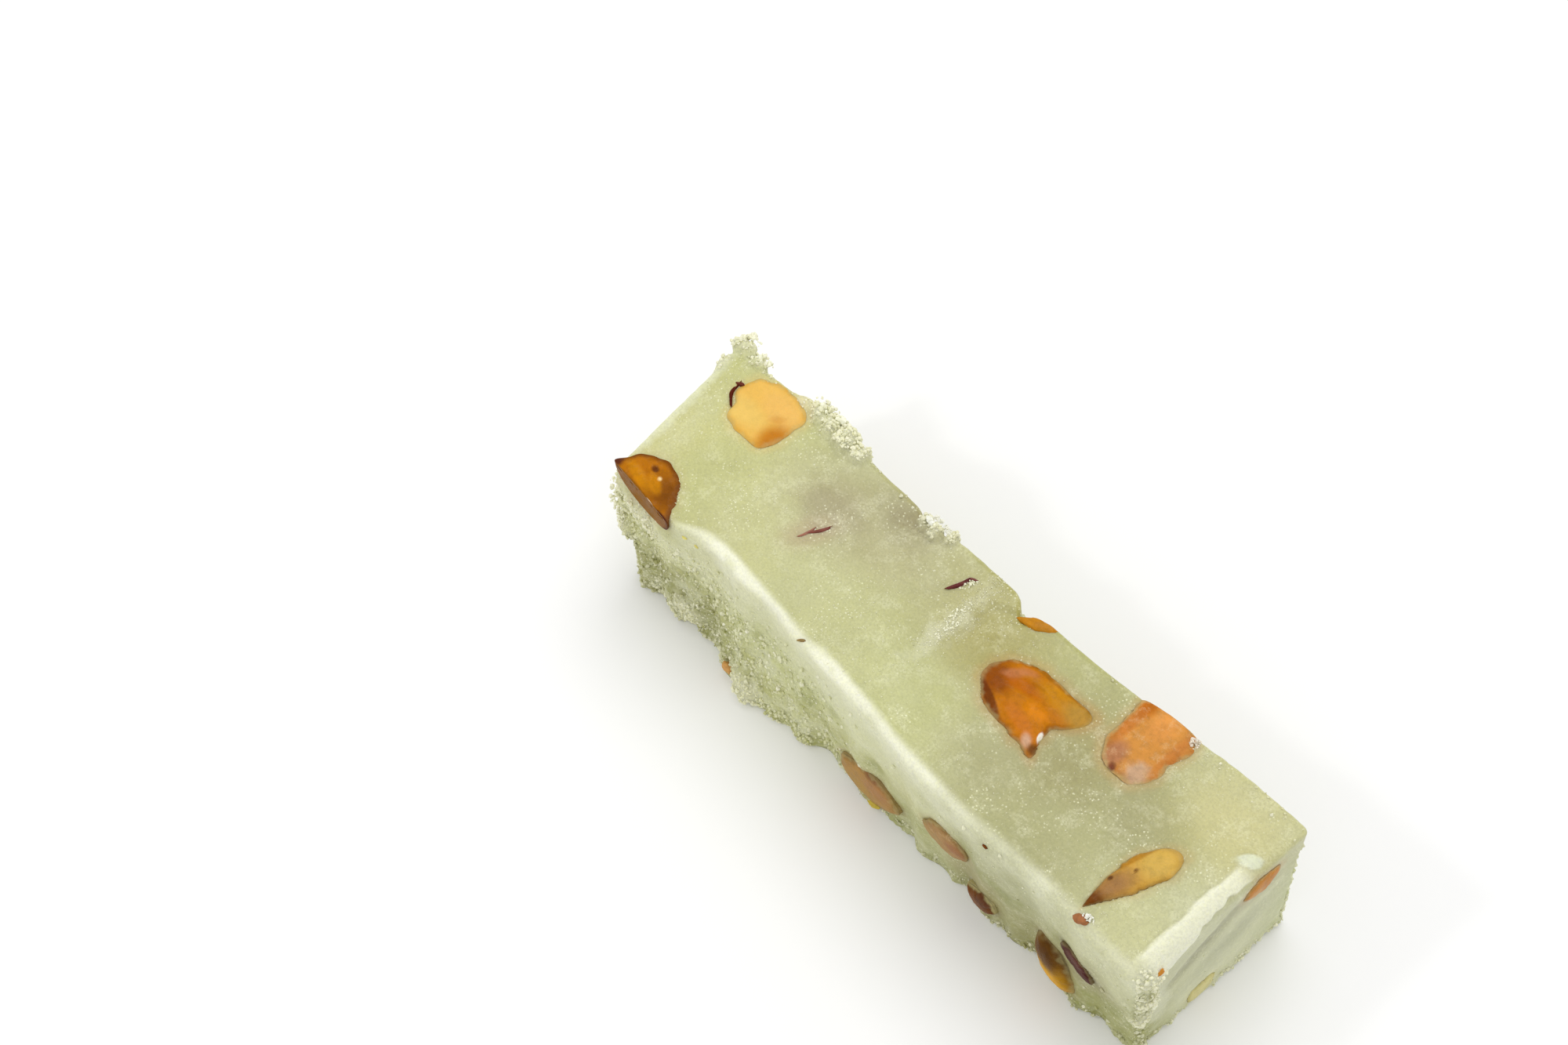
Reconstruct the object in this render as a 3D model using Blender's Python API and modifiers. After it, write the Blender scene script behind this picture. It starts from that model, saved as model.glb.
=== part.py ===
"""A cut bar of pistachio nougat, lying on its base with its smooth top up.

The bar runs along X, its near end at +X and its cleaner cut side at -Y. It is one solid slab with
pistachio kernels, each a solid of its own, set in pockets that open on the top, the cut sides and
the ends. The frame's origin is the bottom centre of the slab. Sizes are in metres.
"""

import math
from dataclasses import dataclass, field

import bmesh
import bpy
from mathutils import Matrix, Vector

MM = 0.001

# The slab's driving sizes.
LENGTH = 102.4 * MM
WIDTH = 25.0 * MM
HEIGHT = 27.0 * MM

# How the sawn block leaves the plain box: slanted ends, a top edge that widens towards the near end,
# a far half whose crumbly foot spreads, and a shallow step across the top.
FAR_SLANT = 3.6 * MM
NEAR_SLANT = 0.6 * MM
LEFT_TOP_AT_FAR_END = -10.4 * MM
LEFT_TOP_WIDENING = -2.6 * MM
LEFT_FOOT = -12.3 * MM
LEFT_FOOT_SPREAD = -2.4 * MM
RIGHT_TOP = 13.6 * MM
RIGHT_TOP_WIDENING = 1.8 * MM
RIGHT_FOOT = 13.7 * MM
STEP_DROP = 0.7 * MM
STEP_AT = 1.6 * MM
STEP_RUN = 2.4 * MM

# How finely the block is sliced before it is shaped.
SLICES_ALONG = 42
SLICES_ACROSS = 6
SLICES_UP = 6

# Edge rounding: the widest edge, and each edge's share of it.
WIDEST_EDGE = 2.4 * MM
NEAR_LIP = 1.0
LEFT_TOP_ROUND = 0.9
CORNER_ROUND = 0.6
CRISP_EDGE = 0.35
FOOT_EDGE = 0.2

# Clear space between a kernel and the pocket cut for it, and how far the cutter stands above the slab.
POCKET_GAP = 0.3 * MM
CUTTER_RISE = 1.6 * MM
KERNEL_SEGMENTS = 16
KERNEL_RINGS = 8
OUTLINE_FULLNESS = 2.2


def smooth(value, start, end):
    """0 before start, 1 after end, and an S-curve between them."""
    share = min(max((value - start) / (end - start), 0.0), 1.0)
    return share * share * (3.0 - 2.0 * share)


def bump(value, centre, reach):
    """A bell curve of height 1."""
    return math.exp(-(((value - centre) / reach) ** 2))


def wave(value, wavelength, phase=0.0):
    """A sine of height 1."""
    return math.sin(2.0 * math.pi * value / wavelength + phase)


def left_top(x):
    """The long top edge on the cut side."""
    widening = LEFT_TOP_WIDENING * smooth(x, -22 * MM, 12 * MM) - 1.5 * MM * bump(x, -36.5 * MM, 5 * MM)
    return LEFT_TOP_AT_FAR_END + widening + 0.4 * MM * wave(x, 33 * MM, 1.2)


def left_foot(x):
    """The ragged lower edge on the cut side, which spreads where the far half crumbled."""
    crumbled = LEFT_FOOT_SPREAD * bump(x, -21 * MM, 7 * MM) - 1.2 * MM * bump(x, -45 * MM, 3 * MM)
    return LEFT_FOOT + crumbled - 0.45 * MM * wave(x, 13 * MM, 1.0) - 0.3 * MM * wave(x, 5.7 * MM)


def right_top(x):
    """The wavy top edge on the broken side, with two nicks in it."""
    widening = RIGHT_TOP_WIDENING * smooth(x, 14 * MM, 44 * MM)
    swell = 0.7 * MM * bump(x, -33 * MM, 8 * MM) + 0.9 * MM * bump(x, -52 * MM, 3 * MM)
    nicks = 1.8 * MM * bump(x, -10.5 * MM, 2.5 * MM) + 2.4 * MM * bump(x, 7.4 * MM, 2.0 * MM)
    return RIGHT_TOP + widening + swell - nicks


def right_foot(x):
    """The ragged lower edge on the broken side."""
    return RIGHT_FOOT + 0.5 * MM * wave(x, 17 * MM, 0.4) + 0.35 * MM * wave(x, 6.3 * MM, 2.0)


def left_side(x, z):
    """Where the cut side is at a height."""
    return left_foot(x) + (left_top(x) - left_foot(x)) * z / HEIGHT


def right_side(x, z):
    """Where the broken side is at a height."""
    return right_foot(x) + (right_top(x) - right_foot(x)) * z / HEIGHT


def far_end(y):
    """The far end, sawn a little askew."""
    return -(LENGTH - FAR_SLANT) / 2 - FAR_SLANT * y / WIDTH


def near_end(y):
    """The near end, almost square."""
    return (LENGTH - NEAR_SLANT) / 2 + NEAR_SLANT * y / WIDTH


def top_surface(x, y):
    """The top: gently uneven, and stepped down past the middle on its broken side."""
    step_line = STEP_AT + 4.0 * MM * smooth(y, 9.5 * MM, 12.5 * MM)
    step = STEP_DROP * smooth(x, step_line, step_line + STEP_RUN) * smooth(y, -3.5 * MM, 4.5 * MM)
    level_again = 1.0 - smooth(x, 26 * MM, 46 * MM)
    return HEIGHT + 0.2 * MM * wave(x, 44 * MM, 0.7) * math.cos(y / (9 * MM)) - step * level_again


def shaped(along, across, up):
    """The place of a point of the plain box, given as shares of its length, width and height."""
    y_rough = (across - 0.5) * WIDTH
    x = far_end(y_rough) + (near_end(y_rough) - far_end(y_rough)) * along
    z = up * HEIGHT
    y = left_side(x, z) + (right_side(x, z) - left_side(x, z)) * across
    return Vector((x, y, up * top_surface(x, y)))


@dataclass
class Kernel:
    """A pistachio kernel: where it shows, how it is turned, and its form."""

    name: str
    face: str
    along: float
    across: float
    turn: float
    length: float
    width: float
    dome: float
    depth: float
    colour: tuple
    point: float = 0.3
    bend: float = 0.0
    lobes: list = field(default_factory=list)
    trims: list = field(default_factory=list)
    segments: int = KERNEL_SEGMENTS
    fullness: float = OUTLINE_FULLNESS


AMBER = (0.46, 0.17, 0.01)
PALE = (0.86, 0.52, 0.13)
ORANGE = (0.58, 0.21, 0.02)
ROSY = (0.66, 0.30, 0.09)
STRAW = (0.60, 0.38, 0.10)
OLIVE = (0.40, 0.22, 0.06)
BROWN = (0.17, 0.07, 0.03)
GREEN = (0.22, 0.13, 0.01)
PURPLE = (0.12, 0.06, 0.05)
NOUGAT = (0.60, 0.59, 0.31)

# Places and sizes in millimetres. along is x on the top and the sides, y on the ends; across is y on
# the top and z elsewhere; a lobe is (angle, gain, spread), in degrees and millimetres.
KERNELS = [
    Kernel("kernel_corner", "top", -42.1, -11.2, -6, 11.2, 10.8, 0.3, 3.2, AMBER, 0.1, 0.0,
           [(-6, 0.9, 13), (-176, 0.5, 10)], ["left"]),
    Kernel("kernel_pale", "top", -39.9, 8.7, -8, 10.6, 9.6, 0.4, 4.2, PALE, 0.0, 0.2,
           [(41, 0.75, 18), (-35, 0.95, 14), (-143, -1.0, 15), (-172, 0.4, 8), (135, -0.3, 20)], segments=20),
    Kernel("kernel_split", "top", 15.6, 3.6, 0, 13.6, 9.6, 0.4, 4.4, ORANGE, 0.0, 0.0,
           [(150, -0.55, 18), (30, 2.75, 17), (-10, -1.9, 17), (-42, 2.6, 8.5), (-62, 0.9, 14)], segments=26),
    Kernel("kernel_rosy", "top", 29.9, 9.9, 90, 12.2, 8.8, 0.6, 4.2, ROSY, 0.0, 0.0,
           [(52, 0.75, 13), (-56, 0.85, 17), (-97, -0.3, 18)], ["right"], fullness=2.3),
    Kernel("kernel_leaf", "top", 40.9, -4.2, 255, 13.5, 4.9, 0.5, 3.4, STRAW, 0.85, 0.4),
    Kernel("kernel_low_long", "left", 2.7, 5.4, 15, 11.8, 8.6, 0.5, 3.6, OLIVE, 0.3),
    Kernel("kernel_low_rosy", "left", 17.9, 13.6, -30, 7.4, 7.0, 0.5, 3.2, ROSY, 0.2),
    Kernel("kernel_foot_brown", "left", 24.2, 4.8, 40, 6.0, 4.6, 0.8, 2.8, BROWN, 0.2),
    Kernel("kernel_foot_green", "left", 37.0, 7.2, 112, 11.2, 7.0, 1.5, 3.6, GREEN, 0.3),
    Kernel("skin_purple", "left", 40.9, 14.7, -40, 6.8, 3.2, 0.25, 1.8, PURPLE, 0.3),
    Kernel("kernel_end_orange", "near", 7.7, 23.2, 12, 6.0, 4.0, 0.3, 2.4, ORANGE, 0.2),
    Kernel("kernel_end_green", "near", -0.6, 3.0, 12, 4.8, 4.2, 0.3, 2.2, STRAW, 0.2),
    Kernel("kernel_back_amber", "right", -31.0, 12.0, 18, 12.2, 7.6, 0.5, 3.8, AMBER, 0.4),
    Kernel("kernel_back_green", "right", -7.5, 17.5, -35, 9.4, 6.0, 0.4, 3.4, GREEN, 0.35),
    Kernel("kernel_back_orange", "right", 15.5, 8.2, 12, 12.6, 7.8, 0.5, 3.8, ORANGE, 0.45),
    Kernel("kernel_back_rosy", "right", 41.5, 14.5, 62, 8.6, 5.2, 0.4, 3.2, ROSY, 0.4),
    Kernel("kernel_far_pale", "far", 3.5, 12.5, 25, 10.4, 6.8, 0.4, 3.6, PALE, 0.3),
]


def face_point(face, along, across):
    """The point of a face of the slab at two coordinates, in metres."""
    if face == "top":
        return Vector((along, across, top_surface(along, across)))
    if face == "left":
        return Vector((along, left_side(along, across), across))
    if face == "right":
        return Vector((along, right_side(along, across), across))
    end = near_end if face == "near" else far_end
    return Vector((end(along), along, across))


def face_axes(face, along, across):
    """A face's first direction, its second one and its outward normal at a point, as a rotation."""
    reach = 4 * MM
    first = face_point(face, along + reach, across) - face_point(face, along - reach, across)
    second = face_point(face, along, across + reach) - face_point(face, along, across - reach)
    normal = first.cross(second).normalized()
    if face in ("right", "far"):
        first, normal = -first, -normal
    first.normalize()
    return Matrix((first, normal.cross(first), normal)).transposed()


def kernel_place(kernel):
    """The world matrix of a kernel: x along it, z out of the slab."""
    along, across = kernel.along * MM, kernel.across * MM
    turned = face_axes(kernel.face, along, across) @ Matrix.Rotation(math.radians(kernel.turn), 3, "Z")
    return Matrix.Translation(face_point(kernel.face, along, across)) @ turned.to_4x4()


def outline_radius(kernel, angle, grow):
    """How far a kernel's rim is from its middle: a full ellipse with lobes and notches."""
    half_length = kernel.length / 2 * MM + grow
    half_width = kernel.width / 2 * MM + grow
    flat = abs(math.cos(angle) / half_length) ** kernel.fullness
    steep = abs(math.sin(angle) / half_width) ** kernel.fullness
    radius = (flat + steep) ** (-1.0 / kernel.fullness)
    for lobe_angle, gain, spread in kernel.lobes:
        off = (math.degrees(angle) - lobe_angle + 180.0) % 360.0 - 180.0
        radius += gain * MM * bump(off, 0.0, spread)
    return radius


def kernel_mesh(kernel, grow=0.0, rise=0.0):
    """A kernel's mesh: a sphere whose rim takes the outline, domed above and deep below."""
    bm = bmesh.new()
    bmesh.ops.create_uvsphere(bm, u_segments=kernel.segments, v_segments=KERNEL_RINGS, radius=1.0)
    half_length = kernel.length / 2 * MM + grow
    above = kernel.dome * MM + grow + rise
    below = kernel.depth * MM + grow
    for vertex in bm.verts:
        direction = vertex.co.copy()
        heading = math.atan2(direction.y, direction.x)
        radius = outline_radius(kernel, heading, grow) * math.hypot(direction.x, direction.y)
        u = radius * math.cos(heading)
        towards_tip = min(max((1.0 + u / half_length) / 2, 0.0), 1.0)
        v = radius * math.sin(heading) * (1.0 - kernel.point * towards_tip**2)
        v += kernel.bend * MM * (u / half_length) ** 2
        vertex.co = Vector((u, v, direction.z * (above if direction.z > 0 else below)))
    mesh = bpy.data.meshes.new(kernel.name)
    bm.to_mesh(mesh)
    bm.free()
    return mesh


def trim_plane(kernel, trim):
    """A point and the outward direction of a plane that cuts a kernel off with the slab's side."""
    x, z = kernel.along * MM, HEIGHT - kernel.depth * MM
    outwards = face_axes(trim, x, z).col[2]
    return face_point(trim, x, z) + outwards * kernel.dome * MM, outwards


def trim_flush(mesh, kernel):
    """Cuts a kernel off where other faces of the slab sliced through it."""
    bm = bmesh.new()
    bm.from_mesh(mesh)
    to_local = kernel_place(kernel).inverted()
    for trim in kernel.trims:
        point, outwards = trim_plane(kernel, trim)
        geometry = bm.verts[:] + bm.edges[:] + bm.faces[:]
        cut = bmesh.ops.bisect_plane(
            bm,
            geom=geometry,
            plane_co=to_local @ point,
            plane_no=to_local.to_3x3() @ outwards,
            clear_outer=True,
        )
        rim = [item for item in cut["geom_cut"] if isinstance(item, bmesh.types.BMEdge)]
        bmesh.ops.holes_fill(bm, edges=rim)
    bm.to_mesh(mesh)
    bm.free()


def new_collection(name):
    """A collection in the scene."""
    collection = bpy.data.collections.new(name)
    bpy.context.scene.collection.children.link(collection)
    return collection


def principled(name, colour, roughness):
    """A Principled material of one colour."""
    material = bpy.data.materials.new(name)
    material.use_nodes = True
    shader = material.node_tree.nodes["Principled BSDF"]
    shader.inputs["Base Color"].default_value = (*colour, 1.0)
    shader.inputs["Roughness"].default_value = roughness
    shader.inputs["Metallic"].default_value = 0.0
    material.diffuse_color = (*colour, 1.0)
    return material


def edge_share(first, second):
    """How round the box's edge between two corners is, as a share of the widest edge."""
    middle = (first + second) / 2
    ends = [value if abs(abs(value) - 0.5) < 1e-4 else None for value in middle]
    along, across, up = ends
    if sum(value is not None for value in ends) < 2:
        return 0.0
    if up is not None and up < 0:
        return FOOT_EDGE
    if up is None:
        return CORNER_ROUND
    if along is not None:
        return NEAR_LIP if along > 0 else CRISP_EDGE
    return LEFT_TOP_ROUND if across < 0 else CRISP_EDGE


def slab_mesh():
    """The slab: a box sliced into cells, whose points the shape functions then move."""
    bm = bmesh.new()
    bmesh.ops.create_cube(bm, size=1.0)
    for axis, slices in enumerate((SLICES_ALONG, SLICES_ACROSS, SLICES_UP)):
        normal = Vector([1.0 if index == axis else 0.0 for index in range(3)])
        for cut in range(1, slices):
            geometry = bm.verts[:] + bm.edges[:] + bm.faces[:]
            bmesh.ops.bisect_plane(bm, geom=geometry, plane_co=normal * (cut / slices - 0.5), plane_no=normal)
    weights = bm.edges.layers.float.new("bevel_weight_edge")
    for edge in bm.edges:
        edge[weights] = edge_share(edge.verts[0].co, edge.verts[1].co)
    for vertex in bm.verts:
        vertex.co = shaped(*(vertex.co + Vector((0.5, 0.5, 0.5))))
    mesh = bpy.data.meshes.new("nougat_slab")
    bm.to_mesh(mesh)
    bm.free()
    return mesh


def build():
    """Makes the slab, its kernels and the pockets that hold them."""
    for leftover in list(bpy.data.objects):
        bpy.data.objects.remove(leftover, do_unlink=True)
    parts = new_collection("nougat_bar")
    cutters = new_collection("pocket_cutters")

    root = bpy.data.objects.new("nougat_bar_origin", None)
    parts.objects.link(root)

    slab = bpy.data.objects.new("nougat_slab", slab_mesh())
    slab.data.materials.append(principled("nougat", NOUGAT, 0.45))
    slab.parent = root
    parts.objects.link(slab)

    rounding = slab.modifiers.new("rounding", "BEVEL")
    rounding.limit_method = "WEIGHT"
    rounding.width = WIDEST_EDGE
    rounding.segments = 2

    for kernel in KERNELS:
        mesh = kernel_mesh(kernel)
        trim_flush(mesh, kernel)
        mesh.shade_smooth()
        mesh.materials.append(principled(kernel.name, kernel.colour, 0.3))
        piece = bpy.data.objects.new(kernel.name, mesh)
        piece.parent = root
        piece.matrix_world = kernel_place(kernel)
        parts.objects.link(piece)

        cutter = bpy.data.objects.new(kernel.name + "_pocket", kernel_mesh(kernel, POCKET_GAP, CUTTER_RISE))
        cutter.matrix_world = piece.matrix_world
        cutter.hide_render = True
        cutter.display_type = "WIRE"
        cutters.objects.link(cutter)

        pocket = slab.modifiers.new(kernel.name, "BOOLEAN")
        pocket.operation = "DIFFERENCE"
        pocket.solver = "EXACT"
        pocket.object = cutter


build()
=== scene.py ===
"""The looks of a cut bar of pistachio nougat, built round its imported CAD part.

The slab is one numpy surface: a block's skin, rounded, warped to the bar's form and roughened where
it crumbled. The pistachio kernels are polar surfaces with their own outlines, furrows and colours.
Granules, lumps and slivers are joined blobs. Sizes are in metres unless a name says otherwise.
"""

import logging
import math
from dataclasses import dataclass
from enum import Enum

import bpy
import numpy as np
from mathutils import Matrix, Vector


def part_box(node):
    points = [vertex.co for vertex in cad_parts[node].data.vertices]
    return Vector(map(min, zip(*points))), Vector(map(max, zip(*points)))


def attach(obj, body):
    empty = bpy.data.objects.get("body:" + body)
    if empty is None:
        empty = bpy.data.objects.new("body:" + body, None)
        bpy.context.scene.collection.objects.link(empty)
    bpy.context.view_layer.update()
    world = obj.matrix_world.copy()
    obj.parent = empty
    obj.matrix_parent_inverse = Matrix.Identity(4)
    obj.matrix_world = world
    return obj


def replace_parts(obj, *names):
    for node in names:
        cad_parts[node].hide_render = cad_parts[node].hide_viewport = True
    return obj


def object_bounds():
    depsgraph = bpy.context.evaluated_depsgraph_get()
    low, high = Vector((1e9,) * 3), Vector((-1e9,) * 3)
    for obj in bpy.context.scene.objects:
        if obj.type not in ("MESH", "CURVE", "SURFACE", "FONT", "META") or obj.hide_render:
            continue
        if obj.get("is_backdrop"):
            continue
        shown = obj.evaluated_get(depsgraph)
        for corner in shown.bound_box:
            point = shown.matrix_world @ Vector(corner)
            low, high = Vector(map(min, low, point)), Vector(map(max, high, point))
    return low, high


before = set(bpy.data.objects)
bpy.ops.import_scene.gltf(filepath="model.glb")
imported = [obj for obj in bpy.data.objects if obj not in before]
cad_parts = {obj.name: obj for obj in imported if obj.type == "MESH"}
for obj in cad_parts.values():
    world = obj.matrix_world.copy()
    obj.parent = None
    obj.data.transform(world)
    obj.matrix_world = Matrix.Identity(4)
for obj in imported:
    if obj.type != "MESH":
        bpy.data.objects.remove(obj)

MM = 0.001
CRUMB = (247, 245, 218)
WHITE = (252, 251, 236)
CREAM = (249, 247, 218)
NOUGAT_FILM = (204, 198, 146)
NOUGAT_VEIL = 0.072
KERNEL_VEIL = 0.018
LOG = logging.getLogger("nougat_bar")
Triple = tuple[float, float, float]


# ------------------------------------------------------------------------------------------ numbers

HASH_STRIDES = (73856093, 19349663, 83492791, 265443576)
HASH_ROUNDS = ((13, 1274126177), (15, 668265263))


def smooth(value: np.ndarray, start: float, end: float) -> np.ndarray:
    """An S-curve: 0 before start, 1 after end, and 3s^2 - 2s^3 of the share s between them."""
    share = np.clip((value - start) / (end - start), 0.0, 1.0)
    return share * share * (3.0 - 2.0 * share)


def bump(value: np.ndarray, centre: float, reach: float) -> np.ndarray:
    """A bell curve of height 1: e to the minus square of the distance over the reach."""
    return np.exp(-(((value - centre) / reach) ** 2))


def wave(value: np.ndarray, wavelength: float, phase: float = 0.0) -> np.ndarray:
    """A sine of height 1."""
    return np.sin(2.0 * math.pi * value / wavelength + phase)


def blend(first: np.ndarray, second: np.ndarray, share: np.ndarray) -> np.ndarray:
    """The first value at share 0, the second at share 1."""
    return first + (second - first) * share


def linear(colour: Triple) -> np.ndarray:
    """A 0-255 sRGB colour as linear numbers from 0 to 1."""
    share = np.asarray(colour, float) / 255.0
    return np.where(share <= 0.04045, share / 12.92, ((share + 0.055) / 1.055) ** 2.4)


def pigment(colour: Triple, veil: float) -> np.ndarray:
    """A seen 0-255 colour as the paint under it: linear, less the veil that reflections lay over it."""
    return np.maximum(linear(colour) - veil, 0.001)


def laid(tint: np.ndarray, colour: Triple, share: np.ndarray, veil: float = NOUGAT_VEIL) -> np.ndarray:
    """Each point's tint with a seen colour laid over it, by each point's share."""
    return blend(tint, pigment(colour, veil), share[:, None])


def lattice_random(cells: np.ndarray, seed: int) -> np.ndarray:
    """A fixed random number for each cell of a lattice, by mixing its coordinates.

    Args:
        cells: The cells' whole-number coordinates.
        seed: Picks the numbers.

    Returns:
        Numbers from 0 to 1.
    """
    x, y, z = np.moveaxis(cells.astype(np.int64), -1, 0)
    along_x, along_y, along_z, per_seed = HASH_STRIDES
    mixed = (x * along_x) ^ (y * along_y) ^ (z * along_z) ^ (seed * per_seed)
    for shift, factor in HASH_ROUNDS:
        mixed = ((mixed ^ (mixed >> shift)) * factor) & 0xFFFFFFFF
    return ((mixed ^ (mixed >> 16)) & 0xFFFFFF) / 0xFFFFFF


def cloud(points: np.ndarray, size: float, seed: int) -> np.ndarray:
    """Smooth noise: a lattice's random corner values, blended by 3s^2 - 2s^3.

    Args:
        points: Where to read it.
        size: The lattice's spacing.
        seed: Picks the pattern.

    Returns:
        Values from -1 to 1.
    """
    scaled = points / size
    cells = np.floor(scaled).astype(np.int64)
    share = smooth(scaled - cells, 0.0, 1.0)
    total = np.zeros(points.shape[:-1])
    for corner in np.ndindex(2, 2, 2):
        weight = np.prod(np.where(np.array(corner) == 1, share, 1.0 - share), axis=-1)
        total += weight * lattice_random(cells + np.array(corner), seed)
    return 2.0 * total - 1.0


def rough_cloud(points: np.ndarray, size: float, seed: int, layers: int = 3) -> np.ndarray:
    """Rugged noise from -1 to 1: clouds of half the size and half the height on one another."""
    total = sum(cloud(points, size / 2**layer, seed + layer) / 2**layer for layer in range(layers))
    return total / (2.0 - 0.5 ** (layers - 1))


def pebbles(points: np.ndarray, size: float, seed: int) -> tuple[np.ndarray, np.ndarray]:
    """Cell noise, as of packed grains.

    Args:
        points: Where to read it.
        size: The spacing of the grains.
        seed: Picks the pattern.

    Returns:
        The distance to the nearest grain's middle, in spacings, and that grain's random tone.
    """
    scaled = points / size
    home = np.floor(scaled).astype(np.int64)
    nearest = np.full(points.shape[:-1], np.inf)
    tone = np.zeros(points.shape[:-1])
    for offset in np.ndindex(3, 3, 3):
        cell = home + np.array(offset) - 1
        jitter = np.stack([lattice_random(cell, seed + axis) for axis in range(3)], axis=-1)
        distance = np.linalg.norm(scaled - cell - jitter, axis=-1)
        tone = np.where(distance < nearest, jitter[..., 0], tone)
        nearest = np.minimum(nearest, distance)
    return nearest, tone


# ------------------------------------------------------------------------------------------- meshes


def make_piece(
    name: str,
    points: np.ndarray,
    faces: list[np.ndarray],
    tint: np.ndarray,
    material: bpy.types.Material,
    crumble: np.ndarray | float = 0.0,
    smoothed: bool = True,
) -> bpy.types.Object:
    """Makes a mesh object at the origin that rides on the bar.

    Args:
        name: The object's name.
        points: Its vertices, in the row frame.
        faces: Arrays of vertex numbers, a row a face, wound counter-clockwise seen from outside.
        tint: A linear colour for each vertex.
        material: Its material.
        crumble: How crumbly each vertex is, from 0 to 1.
        smoothed: Whether its shading is smooth.

    Returns:
        The object.
    """
    mesh = bpy.data.meshes.new(name)
    mesh.from_pydata(points.tolist(), [], [row for block in faces for row in block.tolist()])
    colours = np.ones((len(points), 4), np.float32)
    colours[:, :3] = tint
    mesh.attributes.new("tint", "FLOAT_COLOR", "POINT").data.foreach_set("color", colours.ravel())
    amounts = np.broadcast_to(np.asarray(crumble, np.float32), len(points)).copy()
    mesh.attributes.new("crumble", "FLOAT", "POINT").data.foreach_set("value", amounts)
    if smoothed:
        mesh.shade_smooth()
    mesh.materials.append(material)
    piece = bpy.data.objects.new(name, mesh)
    bpy.context.scene.collection.objects.link(piece)
    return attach(piece, "root")


def box_skin(cells: tuple[int, int, int]) -> tuple[np.ndarray, list[np.ndarray]]:
    """The skin of a block of cells: grids on its sides and top, and one flat face below.

    Args:
        cells: How many cells it has along x, y and z.

    Returns:
        The vertices as shares of the box from 0 to 1, and the quads and the lower face, seen from
        outside.
    """
    counts = np.array(cells)
    index = np.indices(counts + 1)
    at_end = (index == 0) | (index == counts[:, None, None, None])
    on_skin = at_end[0] | at_end[1] | (index[2] == counts[2])
    numbers = np.full(on_skin.shape, -1)
    numbers[on_skin] = np.arange(on_skin.sum())
    shares = np.stack([index[axis][on_skin] / counts[axis] for axis in range(3)], axis=-1)
    quads = []
    for axis, side in ((0, 0), (0, counts[0]), (1, 0), (1, counts[1]), (2, counts[2])):
        sheet = numbers.take(side, axis)
        corners = (sheet[:-1, :-1], sheet[1:, :-1], sheet[1:, 1:], sheet[:-1, 1:])
        quad = np.stack(corners, axis=-1).reshape(-1, 4)
        quads.append(quad[:, ::-1] if (side == 0) != (axis == 1) else quad)
    base = numbers[:, :, 0]
    round_base = np.concatenate((base[0, :-1], base[:-1, -1], base[-1, :0:-1], base[:0:-1, 0]))
    return shares, [np.concatenate(quads), round_base[None]]


def globe(segments: int, rings: int) -> tuple[np.ndarray, np.ndarray, np.ndarray, np.ndarray]:
    """A closed grid of headings and tilts, with a pole at each end.

    Args:
        segments: How many vertices go round.
        rings: How many steps go from pole to pole.

    Returns:
        Each vertex's heading and its tilt from the top pole, the quads, and the poles' triangles.
    """
    around = np.arange(segments)
    tilts = np.arange(1, rings) * math.pi / rings
    heading = np.concatenate((np.tile(around * 2.0 * math.pi / segments, rings - 1), [0.0, 0.0]))
    tilt = np.concatenate((np.repeat(tilts, segments), [0.0, math.pi]))
    ahead = np.roll(around, -1)
    start = (np.arange(rings - 2) * segments)[:, None]
    corners = (start + around, start + segments + around, start + segments + ahead, start + ahead)
    quads = np.stack(corners, axis=-1).reshape(-1, 4)
    top, bottom, last = len(heading) - 2, len(heading) - 1, (rings - 2) * segments
    upper_cap = np.stack((np.full(segments, top), around, ahead), axis=-1)
    lower_cap = np.stack((np.full(segments, bottom), last + ahead, last + around), axis=-1)
    return heading, tilt, quads, np.concatenate((upper_cap, lower_cap))


def directions(heading: np.ndarray, tilt: np.ndarray) -> np.ndarray:
    """The unit vectors at headings round the third axis and tilts from it."""
    flat = np.sin(tilt)
    return np.stack((flat * np.cos(heading), flat * np.sin(heading), np.cos(tilt)), axis=-1)


def turned_by(degrees: float) -> np.ndarray:
    """A turn about the third axis, as a matrix."""
    cosine, sine = math.cos(math.radians(degrees)), math.sin(math.radians(degrees))
    return np.array(((cosine, -sine, 0.0), (sine, cosine, 0.0), (0.0, 0.0, 1.0)))


def turned_frames(count: int, dice: np.random.Generator) -> np.ndarray:
    """Random rotations: two random directions made square to each other, and their cross product.

    Args:
        count: How many.
        dice: The source of chance.

    Returns:
        A stack of matrices.
    """
    first = dice.normal(size=(count, 3))
    first /= np.linalg.norm(first, axis=-1, keepdims=True)
    second = np.cross(first, dice.normal(size=(count, 3)))
    second /= np.linalg.norm(second, axis=-1, keepdims=True)
    return np.stack((first, second, np.cross(first, second)), axis=-1)


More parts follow.
